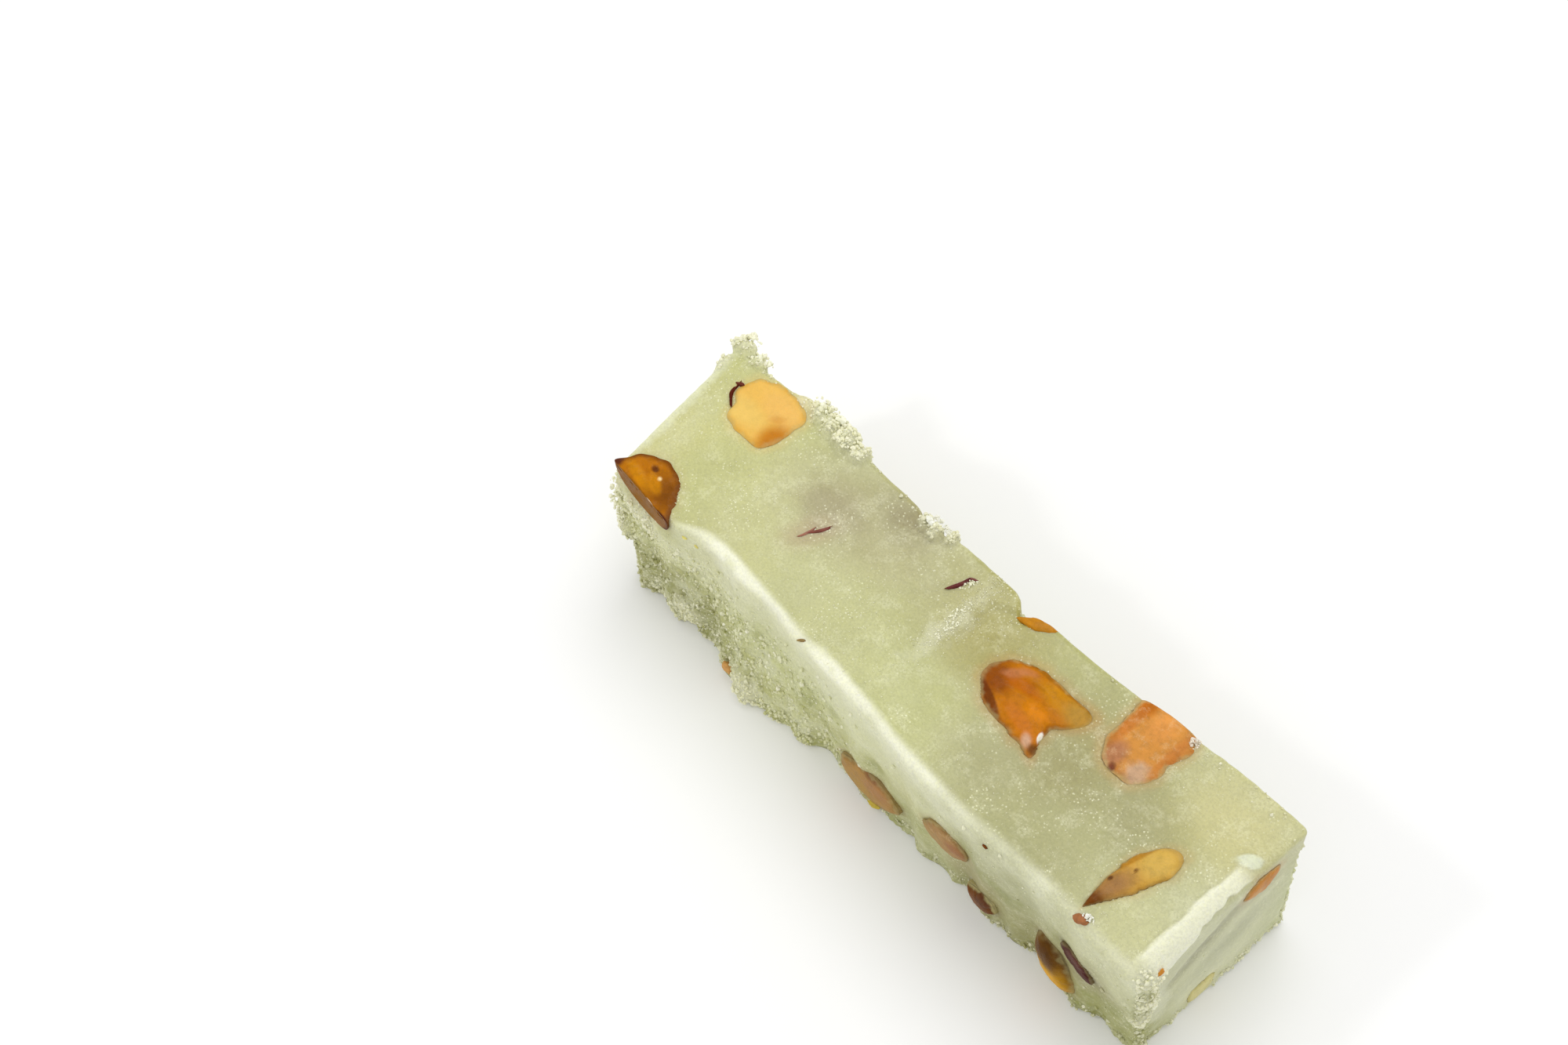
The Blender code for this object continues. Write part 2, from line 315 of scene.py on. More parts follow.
def joined_blobs(
    middles: np.ndarray, radii: np.ndarray, dice: np.random.Generator
) -> tuple[np.ndarray, list[np.ndarray]]:
    """Makes a rough twelve-cornered blob at each place, stretched and turned at random.

    Args:
        middles: Where they are.
        radii: How big they are.
        dice: The source of chance.

    Returns:
        All their points, and their faces.
    """
    count = len(middles)
    heading, tilt, quads, caps = globe(5, 3)
    unit = directions(heading, tilt)
    stretch = dice.uniform(0.65, 1.25, (count, 1, 3))
    uneven = dice.uniform(0.8, 1.15, (count, len(unit), 1))
    turns = np.swapaxes(turned_frames(count, dice), 1, 2)
    points = unit * stretch * uneven @ turns * radii[:, None, None] + middles[:, None, :]
    points[..., 2] = np.maximum(points[..., 2], 0.0)
    start = (np.arange(count) * len(unit))[:, None, None]
    faces = [(block[None] + start).reshape(-1, block.shape[1]) for block in (quads, caps)]
    return points.reshape(-1, 3), faces


# -------------------------------------------------------------------------------------------- form


class Face(Enum):
    """A face of the bar: the axis that it looks along, and which way."""

    TOP = (2, 1.0)
    LEFT = (1, -1.0)
    RIGHT = (1, 1.0)
    NEAR = (0, 1.0)
    FAR = (0, -1.0)

    def share(self, out: np.ndarray, start: float, end: float) -> np.ndarray:
        """How squarely outward directions look this way: an S-curve between two parts of them."""
        axis, sign = self.value
        return smooth(sign * out[:, axis], start, end)


class Slot(Enum):
    """The record's material slots."""

    NOUGAT = "nougat"
    AMBER = "kernel_amber"
    PALE = "kernel_pale"
    ORANGE = "kernel_orange"
    ROSY = "kernel_rosy"
    STRAW = "kernel_straw"
    BROWN = "kernel_brown"
    GREEN = "kernel_green"
    PALE_GREEN = "kernel_pale_green"
    SKIN = "kernel_skin"


@dataclass(frozen=True)
class BarForm:
    """How the cut block leaves a plain box: slanted ends, edges that wander, a step in its top."""

    length: float
    height: float = 27.0 * MM
    width: float = 25.0 * MM
    far_slant: float = 3.6 * MM
    near_slant: float = 0.6 * MM
    step_drop: float = 0.7 * MM

    def left_top(self, x: np.ndarray) -> np.ndarray:
        """The y of the long top edge on the cut side: an S-curve that widens it, a wave and a swell."""
        widening = 2.6 * MM * smooth(x, -22 * MM, 12 * MM) + 1.5 * MM * bump(x, -36.5 * MM, 5 * MM)
        return -10.4 * MM - widening + 0.4 * MM * wave(x, 33 * MM, 1.2)

    def left_foot(self, x: np.ndarray) -> np.ndarray:
        """The y of the ragged lower edge on the cut side: two spreading bulges and two waves."""
        crumbled = 2.4 * MM * bump(x, -21 * MM, 7 * MM) + 1.2 * MM * bump(x, -45 * MM, 3 * MM)
        return -12.3 * MM - crumbled - 0.45 * MM * wave(x, 13 * MM, 1.0) - 0.3 * MM * wave(x, 5.7 * MM)

    def right_top(self, x: np.ndarray) -> np.ndarray:
        """The top edge on the broken side: an S-curve, two swells and two nicks.

        Args:
            x: Places along the bar.

        Returns:
            Its y there.
        """
        widening = 1.8 * MM * smooth(x, 14 * MM, 44 * MM)
        swell = 0.7 * MM * bump(x, -33 * MM, 8 * MM) + 0.9 * MM * bump(x, -52 * MM, 3 * MM)
        nicks = 1.8 * MM * bump(x, -10.5 * MM, 2.5 * MM) + 2.4 * MM * bump(x, 7.4 * MM, 2.0 * MM)
        return 13.6 * MM + widening + swell - nicks

    def right_foot(self, x: np.ndarray) -> np.ndarray:
        """The y of the lower edge on the broken side: two waves."""
        return 13.7 * MM + 0.5 * MM * wave(x, 17 * MM, 0.4) + 0.35 * MM * wave(x, 6.3 * MM, 2.0)

    def left_side(self, x: np.ndarray, z: np.ndarray) -> np.ndarray:
        """The y of the cut side at a height, straight from foot to top."""
        return blend(self.left_foot(x), self.left_top(x), z / self.height)

    def right_side(self, x: np.ndarray, z: np.ndarray) -> np.ndarray:
        """The y of the broken side at a height, straight from foot to top."""
        return blend(self.right_foot(x), self.right_top(x), z / self.height)

    def far_end(self, y: np.ndarray) -> np.ndarray:
        """The x of the far end, sawn askew."""
        return -(self.length - self.far_slant) / 2 - self.far_slant * y / self.width

    def near_end(self, y: np.ndarray) -> np.ndarray:
        """The x of the near end, almost square."""
        return (self.length - self.near_slant) / 2 + self.near_slant * y / self.width

    def top_surface(self, x: np.ndarray, y: np.ndarray) -> np.ndarray:
        """The top: a slow wave, less a step past the middle that levels out again.

        Args:
            x: Places along the bar.
            y: Places across it.

        Returns:
            Its z there.
        """
        step_line = 1.6 * MM + 4.0 * MM * smooth(y, 9.5 * MM, 12.5 * MM)
        step = self.step_drop * smooth(x - step_line, 0.0, 2.4 * MM) * smooth(y, -3.5 * MM, 4.5 * MM)
        level_again = 1.0 - smooth(x, 26 * MM, 46 * MM)
        swell = 0.2 * MM * wave(x, 44 * MM, 0.7) * np.cos(y / (9 * MM))
        return self.height + swell - step * level_again

    def shaped(self, shares: np.ndarray) -> np.ndarray:
        """Warps the box: x goes between the ends, y between the sides, z under the top.

        Args:
            shares: Points as shares of the box.

        Returns:
            The points in metres.
        """
        along, across, up = np.moveaxis(shares, -1, 0)
        y_rough = (across - 0.5) * self.width
        x = blend(self.far_end(y_rough), self.near_end(y_rough), along)
        z = up * self.height
        y = blend(self.left_side(x, z), self.right_side(x, z), across)
        return np.stack((x, y, up * self.top_surface(x, y)), axis=-1)

    def on_face(self, face: Face, along: np.ndarray, across: np.ndarray) -> np.ndarray:
        """Points of a face.

        Args:
            face: Which face.
            along: x on the top and the sides, y on the ends.
            across: y on the top, z on the sides and the ends.

        Returns:
            The points.
        """
        if face is Face.TOP:
            place = (along, across, self.top_surface(along, across))
        elif face in (Face.LEFT, Face.RIGHT):
            side = self.left_side if face is Face.LEFT else self.right_side
            place = (along, side(along, across), across)
        else:
            end = self.near_end if face is Face.NEAR else self.far_end
            place = (end(along), along, across)
        return np.stack(place, axis=-1)

    def axes(self, face: Face, along: float, across: float) -> np.ndarray:
        """A face's directions at a point, from the differences of points round it.

        Args:
            face: Which face.
            along: The point's first coordinate on it.
            across: The point's second coordinate on it.

        Returns:
            Its first direction, second direction and outward normal, as columns.
        """
        reach = 4 * MM
        first = self.on_face(face, along + reach, across) - self.on_face(face, along - reach, across)
        second = self.on_face(face, along, across + reach) - self.on_face(face, along, across - reach)
        normal = np.cross(first, second)
        normal /= np.linalg.norm(normal)
        if face in (Face.RIGHT, Face.FAR):
            first, normal = -first, -normal
        first = first / np.linalg.norm(first)
        return np.stack((first, np.cross(normal, first), normal), axis=1)


@dataclass(frozen=True)
class Spot:
    """An oval area with its own colour and height, in millimetres and degrees.

    Its edge is soft at softness 1 and crisp near 0.
    """

    u: float
    v: float
    reach_u: float
    reach_v: float
    colour: Triple
    strength: float
    turn: float = 0.0
    lift: float = 0.0
    softness: float = 1.0
    ragged: float = 0.0

    def weight(self, u: np.ndarray, v: np.ndarray, noise: np.ndarray) -> np.ndarray:
        """How much places belong to it: an S-curve of the oval distance from its middle.

        Args:
            u: Their first coordinate, in mm.
            v: Their second coordinate, in mm.
            noise: What makes its edge ragged.

        Returns:
            Shares from 0 to 1.
        """
        cosine, sine = math.cos(math.radians(self.turn)), math.sin(math.radians(self.turn))
        du, dv = u - self.u, v - self.v
        across_u = (du * cosine + dv * sine) / self.reach_u
        across_v = (dv * cosine - du * sine) / self.reach_v
        distance = np.hypot(across_u, across_v) + self.ragged * noise
        half = 0.5 * self.softness
        return 1.0 - smooth(distance, 1.0 - half, 1.0 + half)


# ---------------------------------------------------------------------------------------- materials


class Signal:
    """A socket in a material, so that shader maths reads as a Python expression."""

    def __init__(self, shader: "Shader", socket: bpy.types.NodeSocket) -> None:
        """Keeps the material it is in and its socket."""
        self.shader = shader
        self.socket = socket

    def math(self, operation: str, first: "Signal | float", second: "Signal | float") -> "Signal":
        """A Math node on two values."""
        return self.shader.node("ShaderNodeMath", {"operation": operation}, Value=first, Value_001=second)

    def __add__(self, other: "Signal | float") -> "Signal":
        """The sum."""
        return self.math("ADD", self, other)

    def __rsub__(self, other: float) -> "Signal":
        """A number less this."""
        return self.math("SUBTRACT", other, self)

    def __mul__(self, other: "Signal | float") -> "Signal":
        """The product."""
        return self.math("MULTIPLY", self, other)

    __radd__ = __add__
    __rmul__ = __mul__

    def ramp(self, start: float, end: float) -> "Signal":
        """0 before start, 1 after end, and an S-curve between them."""
        settings = {"interpolation_type": "SMOOTHSTEP"}
        return self.shader.node("ShaderNodeMapRange", settings, Value=self, From_Min=start, From_Max=end)


class Shader:
    """One Principled material in the making."""

    def __init__(self, name: str) -> None:
        """Starts the material.

        Args:
            name: Its name.
        """
        self.material = bpy.data.materials.new(name)
        self.material.use_nodes = True
        self.tree = self.material.node_tree
        self.surface = self.tree.nodes["Principled BSDF"]

    def feed(self, socket: bpy.types.NodeSocket, value: Signal | float | tuple) -> None:
        """Links a signal to a socket, or sets the socket's own value.

        Args:
            socket: The socket.
            value: What it gets.
        """
        if isinstance(value, Signal):
            self.tree.links.new(value.socket, socket)
        else:
            socket.default_value = value

    def node(self, kind: str, settings: dict[str, str], **inputs: Signal | float | tuple) -> Signal:
        """Adds a node.

        Args:
            kind: Its type.
            settings: Its own settings; "output" picks an output by its identifier.
            inputs: What goes into it, by the socket's identifier, with _ for a space.

        Returns:
            The picked output, or the first one.
        """
        node = self.tree.nodes.new(kind)
        for name, value in settings.items():
            if name != "output":
                setattr(node, name, value)
        sockets = {socket.identifier.replace(" ", "_"): socket for socket in node.inputs}
        for name, value in inputs.items():
            self.feed(sockets[name], value)
        output = settings.get("output", node.outputs[0].identifier)
        return Signal(self, next(socket for socket in node.outputs if socket.identifier == output))

    def attribute(self, name: str, output: str) -> Signal:
        """Reads a vertex attribute: output is Color or Fac."""
        return self.node("ShaderNodeAttribute", {"attribute_name": name, "output": output})

    def place(self) -> Signal:
        """The object coordinates, which here are metres in the row frame."""
        return self.node("ShaderNodeTexCoord", {"output": "Object"})

    def noise(self, size: float, detail: float, roughness: float) -> Signal:
        """Noise from 0 to 1 whose features have that size in metres."""
        inputs = {"Scale": 1.0 / size, "Detail": detail, "Roughness": roughness}
        return self.node("ShaderNodeTexNoise", {}, Vector=self.place(), **inputs)

    def grains(self, size: float) -> Signal:
        """The distance to the nearest of many scattered points, in spacings of that size."""
        return self.node("ShaderNodeTexVoronoi", {}, Vector=self.place(), Scale=1.0 / size)

    def mixed(self, share: Signal, first: Signal, second: Signal | tuple) -> Signal:
        """The first colour at share 0, the second at share 1."""
        settings = {"data_type": "RGBA", "output": "Result_Color"}
        return self.node("ShaderNodeMix", settings, Factor_Float=share, A_Color=first, B_Color=second)

    def scaled(self, colour: Signal, factor: float) -> Signal:
        """The colour times a number."""
        return self.node("ShaderNodeVectorMath", {"operation": "SCALE"}, Vector=colour, Scale=factor)

    def bumped(self, height: Signal, distance: float, strength: Signal | float) -> Signal:
        """The normal of a surface with that height, of which 1 is distance in metres."""
        return self.node("ShaderNodeBump", {}, Height=height, Distance=distance, Strength=strength)

    def set(self, **inputs: Signal | float | tuple) -> bpy.types.Material:
        """Feeds the Principled shader.

        Args:
            inputs: What goes into it, by the socket's name, with _ for a space.

        Returns:
            The material.
        """
        for name, value in inputs.items():
            self.feed(self.surface.inputs[name.replace("_", " ")], value)
        return self.material


@dataclass(frozen=True)
class NougatFinish:
    """Waxy, slightly translucent sugar paste with fine white grains in it."""

    roughness: float = 0.40
    crumbly_roughness: float = 0.62
    scatter: float = 0.6
    scatter_radius: float = 1.1 * MM
    grain: float = 0.34 * MM
    speck: float = 0.50 * MM
    blotch: float = 2.8 * MM
    patch: float = 7.0 * MM
    pale: Triple = (240, 240, 208)
    shade: float = 0.87
    crumbly_shade: float = 0.79
    relief: float = 0.14 * MM

    def material(self, name: str) -> bpy.types.Material:
        """Tint from the vertices, mottled by noise and lit by specks where the grains are.

        Args:
            name: The material's name.

        Returns:
            The material.
        """
        shader = Shader(name)
        crumble = shader.attribute("crumble", "Fac")
        tint = shader.attribute("tint", "Color")
        mottle = shader.noise(self.blotch, 5.0, 0.68)
        fine = shader.noise(self.grain, 3.0, 0.7)
        specks = 1.0 - shader.grains(self.speck).ramp(0.10, 0.34)
        patches = shader.noise(self.patch, 3.0, 0.6).ramp(0.48, 0.62)
        pale = (*linear(self.pale), 1.0)
        waxy_shade = shader.scaled(tint, self.shade)
        shade = shader.mixed(crumble, waxy_shade, shader.scaled(tint, self.crumbly_shade))
        mottled = shader.mixed(mottle.ramp(0.46, 0.70) * 0.28, tint, pale)
        shaded = shader.mixed((1.0 - fine.ramp(0.36, 0.60)) * (0.75 + 0.1 * crumble), mottled, shade)
        sparkle = specks * fine.ramp(0.40, 0.54) * (0.20 + 0.60 * patches)
        height = fine * (0.45 + 0.55 * crumble) + specks * 0.35 + mottle * 0.8
        return shader.set(
            Base_Color=shader.mixed(sparkle, shaded, pale),
            Roughness=self.roughness + (self.crumbly_roughness - self.roughness) * crumble + 0.10 * fine,
            Normal=shader.bumped(height, self.relief, 0.62 + 0.3 * crumble),
            Subsurface_Weight=self.scatter,
            Subsurface_Radius=(1.0, 1.0, 0.55),
            Subsurface_Scale=self.scatter_radius,
            Specular_IOR_Level=0.35,
        )


@dataclass(frozen=True)
class KernelFinish:
    """A roasted, candied kernel: fibrous, a little translucent, and glossy."""

    roughness: float = 0.34
    coat: float = 0.08
    scatter: float = 0.15
    scatter_radius: float = 0.9 * MM
    powder: float = 0.05
    powder_colour: Triple = (236, 208, 162)
    streaks: float = 0.5
    shade: float = 0.66
    glow: float = 1.25
    relief: float = 0.22 * MM

    def material(self, name: str) -> bpy.types.Material:
        """Tint from the vertices, streaked by fine noise, with sugar powder where it has any.

        Args:
            name: The material's name.

        Returns:
            The material.
        """
        shader = Shader(name)
        tint = shader.attribute("tint", "Color")
        fibre = shader.noise(0.9 * MM, 5.0, 0.72)
        broad = shader.noise(2.6 * MM, 3.0, 0.6)
        frost = shader.noise(1.5 * MM, 4.0, 0.7).ramp(0.50, 0.66)
        dust = shader.noise(0.16 * MM, 1.0, 0.5).ramp(0.42, 0.66)
        streaks = (1.0 - fibre.ramp(0.34, 0.58)) * self.streaks
        streaked = shader.mixed(streaks, tint, shader.scaled(tint, self.shade))
        glow = broad.ramp(0.45, 0.75) * self.streaks
        glowing = shader.mixed(glow, streaked, shader.scaled(tint, self.glow))
        powder = frost * (0.35 + 0.65 * dust) * self.powder
        return shader.set(
            Base_Color=shader.mixed(powder, glowing, (*linear(self.powder_colour), 1.0)),
            Roughness=self.roughness + 0.12 * fibre.ramp(0.4, 0.7) + frost * 0.2,
            Normal=shader.bumped(fibre * 0.8 + broad * 1.6 + dust * 0.15, self.relief, 0.6),
            Subsurface_Weight=self.scatter,
            Subsurface_Radius=(1.0, 0.8, 0.5),
            Subsurface_Scale=self.scatter_radius,
            IOR=1.12,
            Coat_Weight=self.coat,
            Coat_Roughness=0.12,
        )


# ------------------------------------------------------------------------------------------ kernels

WOBBLES = ((4, 0.13, 1.0), (9, 0.09, -1.0), (15, 0.05, 0.0))


@dataclass(frozen=True)
class Kernel:
    """A pistachio kernel set in a face of the bar, in millimetres and degrees.

    Along and across are x and y on the top, x and z on a side, y and z on an end. A lobe is an angle,
    a gain in radius and a spread. A kernel that a face cuts stands proud of that face.
    """

    node: str
    slot: Slot
    face: Face
    along: float
    across: float
    turn: float
    length: float
    width: float
    dome: float
    depth: float
    colour: Triple
    point: float = 0.3
    bend: float = 0.0
    lobes: tuple[Triple, ...] = ()
    cut_by: Face | None = None
    proud: float = 0.0
    cut_rounding: float = 0.35
    fullness: float = 2.2
    shoulder: float = 0.62
    rim_rise: float = 0.07
    spots: tuple[Spot, ...] = ()
    rim: Triple = (120, 72, 20)
    rim_strength: float = 0.5
    wrinkle: float = 0.12
    halo: float = 0.25
    fade: float = 0.35
    segments: int = 168
    rings: int = 84

    def radius(self, angle: np.ndarray) -> np.ndarray:
        """The outline: a full ellipse with lobes and small wobbles.

        Args:
            angle: Headings round its middle.

        Returns:
            The rim's distances from the middle, in mm.
        """
        flat = np.abs(np.cos(angle) * 2.0 / self.length) ** self.fullness
        steep = np.abs(np.sin(angle) * 2.0 / self.width) ** self.fullness
        radius = (flat + steep) ** (-1.0 / self.fullness)
        for lobe_angle, gain, spread in self.lobes:
            off = (np.degrees(angle) - lobe_angle + 180.0) % 360.0 - 180.0
            radius = radius + gain * bump(off, 0.0, spread)
        for waves, gain, way in WOBBLES:
            radius = radius + gain * np.sin(waves * angle + way * self.along)
        return radius

    def taper(self, u: np.ndarray) -> tuple[np.ndarray, np.ndarray]:
        """How it narrows towards its tip and bends sideways, both with a square.

        Args:
            u: Places along it, in mm.

        Returns:
            The shares that its width keeps, and how far it goes sideways in mm.
        """
        share = u * 2.0 / self.length
        towards_tip = np.clip((1.0 + share) / 2.0, 0.0, 1.0)
        return 1.0 - self.point * towards_tip**2, self.bend * share**2

    def frame(self, form: BarForm) -> tuple[np.ndarray, np.ndarray]:
        """Where it sits.

        Args:
            form: The bar's form.

        Returns:
            Its middle on the face, and its three directions as columns, the third outwards.
        """
        along, across = self.along * MM, self.across * MM
        axes = form.axes(self.face, along, across) @ turned_by(self.turn)
        return form.on_face(self.face, along, across), axes

    def reach(self, form: BarForm, points: np.ndarray) -> tuple[np.ndarray, np.ndarray]:
        """Where points are against its outline.

        Args:
            form: The bar's form.
            points: Points of the bar's surface.

        Returns:
            Shares of the rim's distance, 1 on the outline, and distances beyond it in mm.
        """
        middle, axes = self.frame(form)
        u, v, w = np.moveaxis((points - middle) @ axes / MM, -1, 0)
        narrowing, sideways = self.taper(u)
        straight = (v - sideways) / np.maximum(narrowing, 0.15)
        rim = self.radius(np.arctan2(straight, u))
        distance = np.hypot(u, straight)
        below = np.clip(-w / self.depth, 0.0, None)
        share = ((distance / rim) ** 3 + below**3) ** (1.0 / 3.0)
        share = np.where(w > 3.0, 9.0, share)
        return share, (share - 1.0) * rim

    def pattern(self, u: np.ndarray, v: np.ndarray) -> np.ndarray:
        """Where to read noise for places on it: their coordinates, on a layer of its own."""
        return np.stack((u, v, np.full_like(u, 7.0 * len(self.node))), axis=-1)

    def surface(self, heading: np.ndarray, tilt: np.ndarray) -> tuple[np.ndarray, np.ndarray]:
        """Its shape before it is placed: a superellipse dome over the outline, wrinkled on top.

        Args:
            heading: The grid's headings.
            tilt: The grid's tilts from the top pole.

        Returns:
            Its points in mm, and their shares of the way out to the rim.
        """
        spread = np.sin(tilt) ** self.shoulder
        rise = np.sign(np.cos(tilt)) * np.abs(np.cos(tilt)) ** self.shoulder
        rim = self.radius(heading)
        u = rim * spread * np.cos(heading)
        narrowing, sideways = self.taper(u)
        v = rim * spread * np.sin(heading) * narrowing + sideways
        above = self.dome * (1.0 - spread**4) + self.rim_rise * (1.0 - spread**16)
        w = np.where(rise > 0, above, self.depth * rise)
        w = w + self.wrinkle * rough_cloud(self.pattern(u, v), 1.7, 31) * (w > 0) * spread
        return np.stack((u, v, w), axis=-1), spread

    def painted(self, points: np.ndarray, spread: np.ndarray) -> tuple[np.ndarray, np.ndarray]:
        """Colours it: its own colour, the rim's near the edge, the spots, and nougat that creeps over.

        Args:
            points: Its points in mm, before it is placed.
            spread: Their shares of the way out to the rim.

        Returns:
            A linear colour for each point, and its new w, which the spots lift.
        """
        u, v, w = points.T
        pattern = self.pattern(u, v)
        tint = np.broadcast_to(pigment(self.colour, KERNEL_VEIL), points.shape)
        edge = smooth(spread + 0.05 * rough_cloud(pattern, 1.1, 47), 0.80, 0.99)
        tint = laid(tint, self.rim, edge * self.rim_strength, KERNEL_VEIL)
        ragged = rough_cloud(pattern, 0.9, 53)
        for spot in self.spots:
            share = spot.weight(u, v, ragged)
            w = w + spot.lift * share * (w > -0.5)
            tint = laid(tint, spot.colour, share * spot.strength, KERNEL_VEIL)
        covered = smooth(spread + 0.16 * ragged, 0.86, 1.0) * self.fade
        return laid(tint, NOUGAT_FILM, covered), w

    def cut(self, form: BarForm, points: np.ndarray) -> np.ndarray:
        """Brings what is past its cutting face back to a plane, by log(1 + e^d) of the distance d.

        Args:
            form: The bar's form.
            points: Its points, placed.

        Returns:
            The points, cut.
        """
        if self.cut_by is None:
            return points
        x, z = self.along * MM, form.height - self.depth * MM
        outwards = form.axes(self.cut_by, x, z)[:, 2]
        origin = form.on_face(self.cut_by, x, z) + outwards * (self.proud * MM)
        rounding = self.cut_rounding * MM
        beyond = (points - origin) @ outwards / rounding
        return points - (np.logaddexp(0.0, beyond) * rounding)[:, None] * outwards

    def placed(self, form: BarForm, points: np.ndarray) -> np.ndarray:
        """Puts it on its face, cuts it, and moves it in the face's plane onto its CAD node's box.

        Args:
            form: The bar's form.
            points: Its points in mm, before it is placed.

        Returns:
            Its points in the row frame.
        """
        middle, axes = self.frame(form)
        placed = self.cut(form, middle + points @ axes.T * MM)
        lowest, highest = (np.array(corner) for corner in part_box(self.node))
        drift = (lowest + highest) / 2 - (placed.min(axis=0) + placed.max(axis=0)) / 2
        in_plane = drift - axes[:, 2] * (drift @ axes[:, 2])
        LOG.info("%s moved %.2f mm to its CAD node", self.node, np.linalg.norm(in_plane) / MM)
        return placed + in_plane

    def build(self, form: BarForm, material: bpy.types.Material) -> bpy.types.Object:
        """Builds it on a closed grid of headings and tilts.

        Args:
            form: The bar's form.
            material: Its material.

        Returns:
            The kernel, which stands for its CAD node.
        """
        heading, tilt, quads, caps = globe(self.segments, self.rings)
        points, spread = self.surface(heading, tilt)
        tint, points[:, 2] = self.painted(points, spread)
        piece = make_piece("shown_" + self.node, self.placed(form, points), [quads, caps], tint, material)
        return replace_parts(piece, self.node)


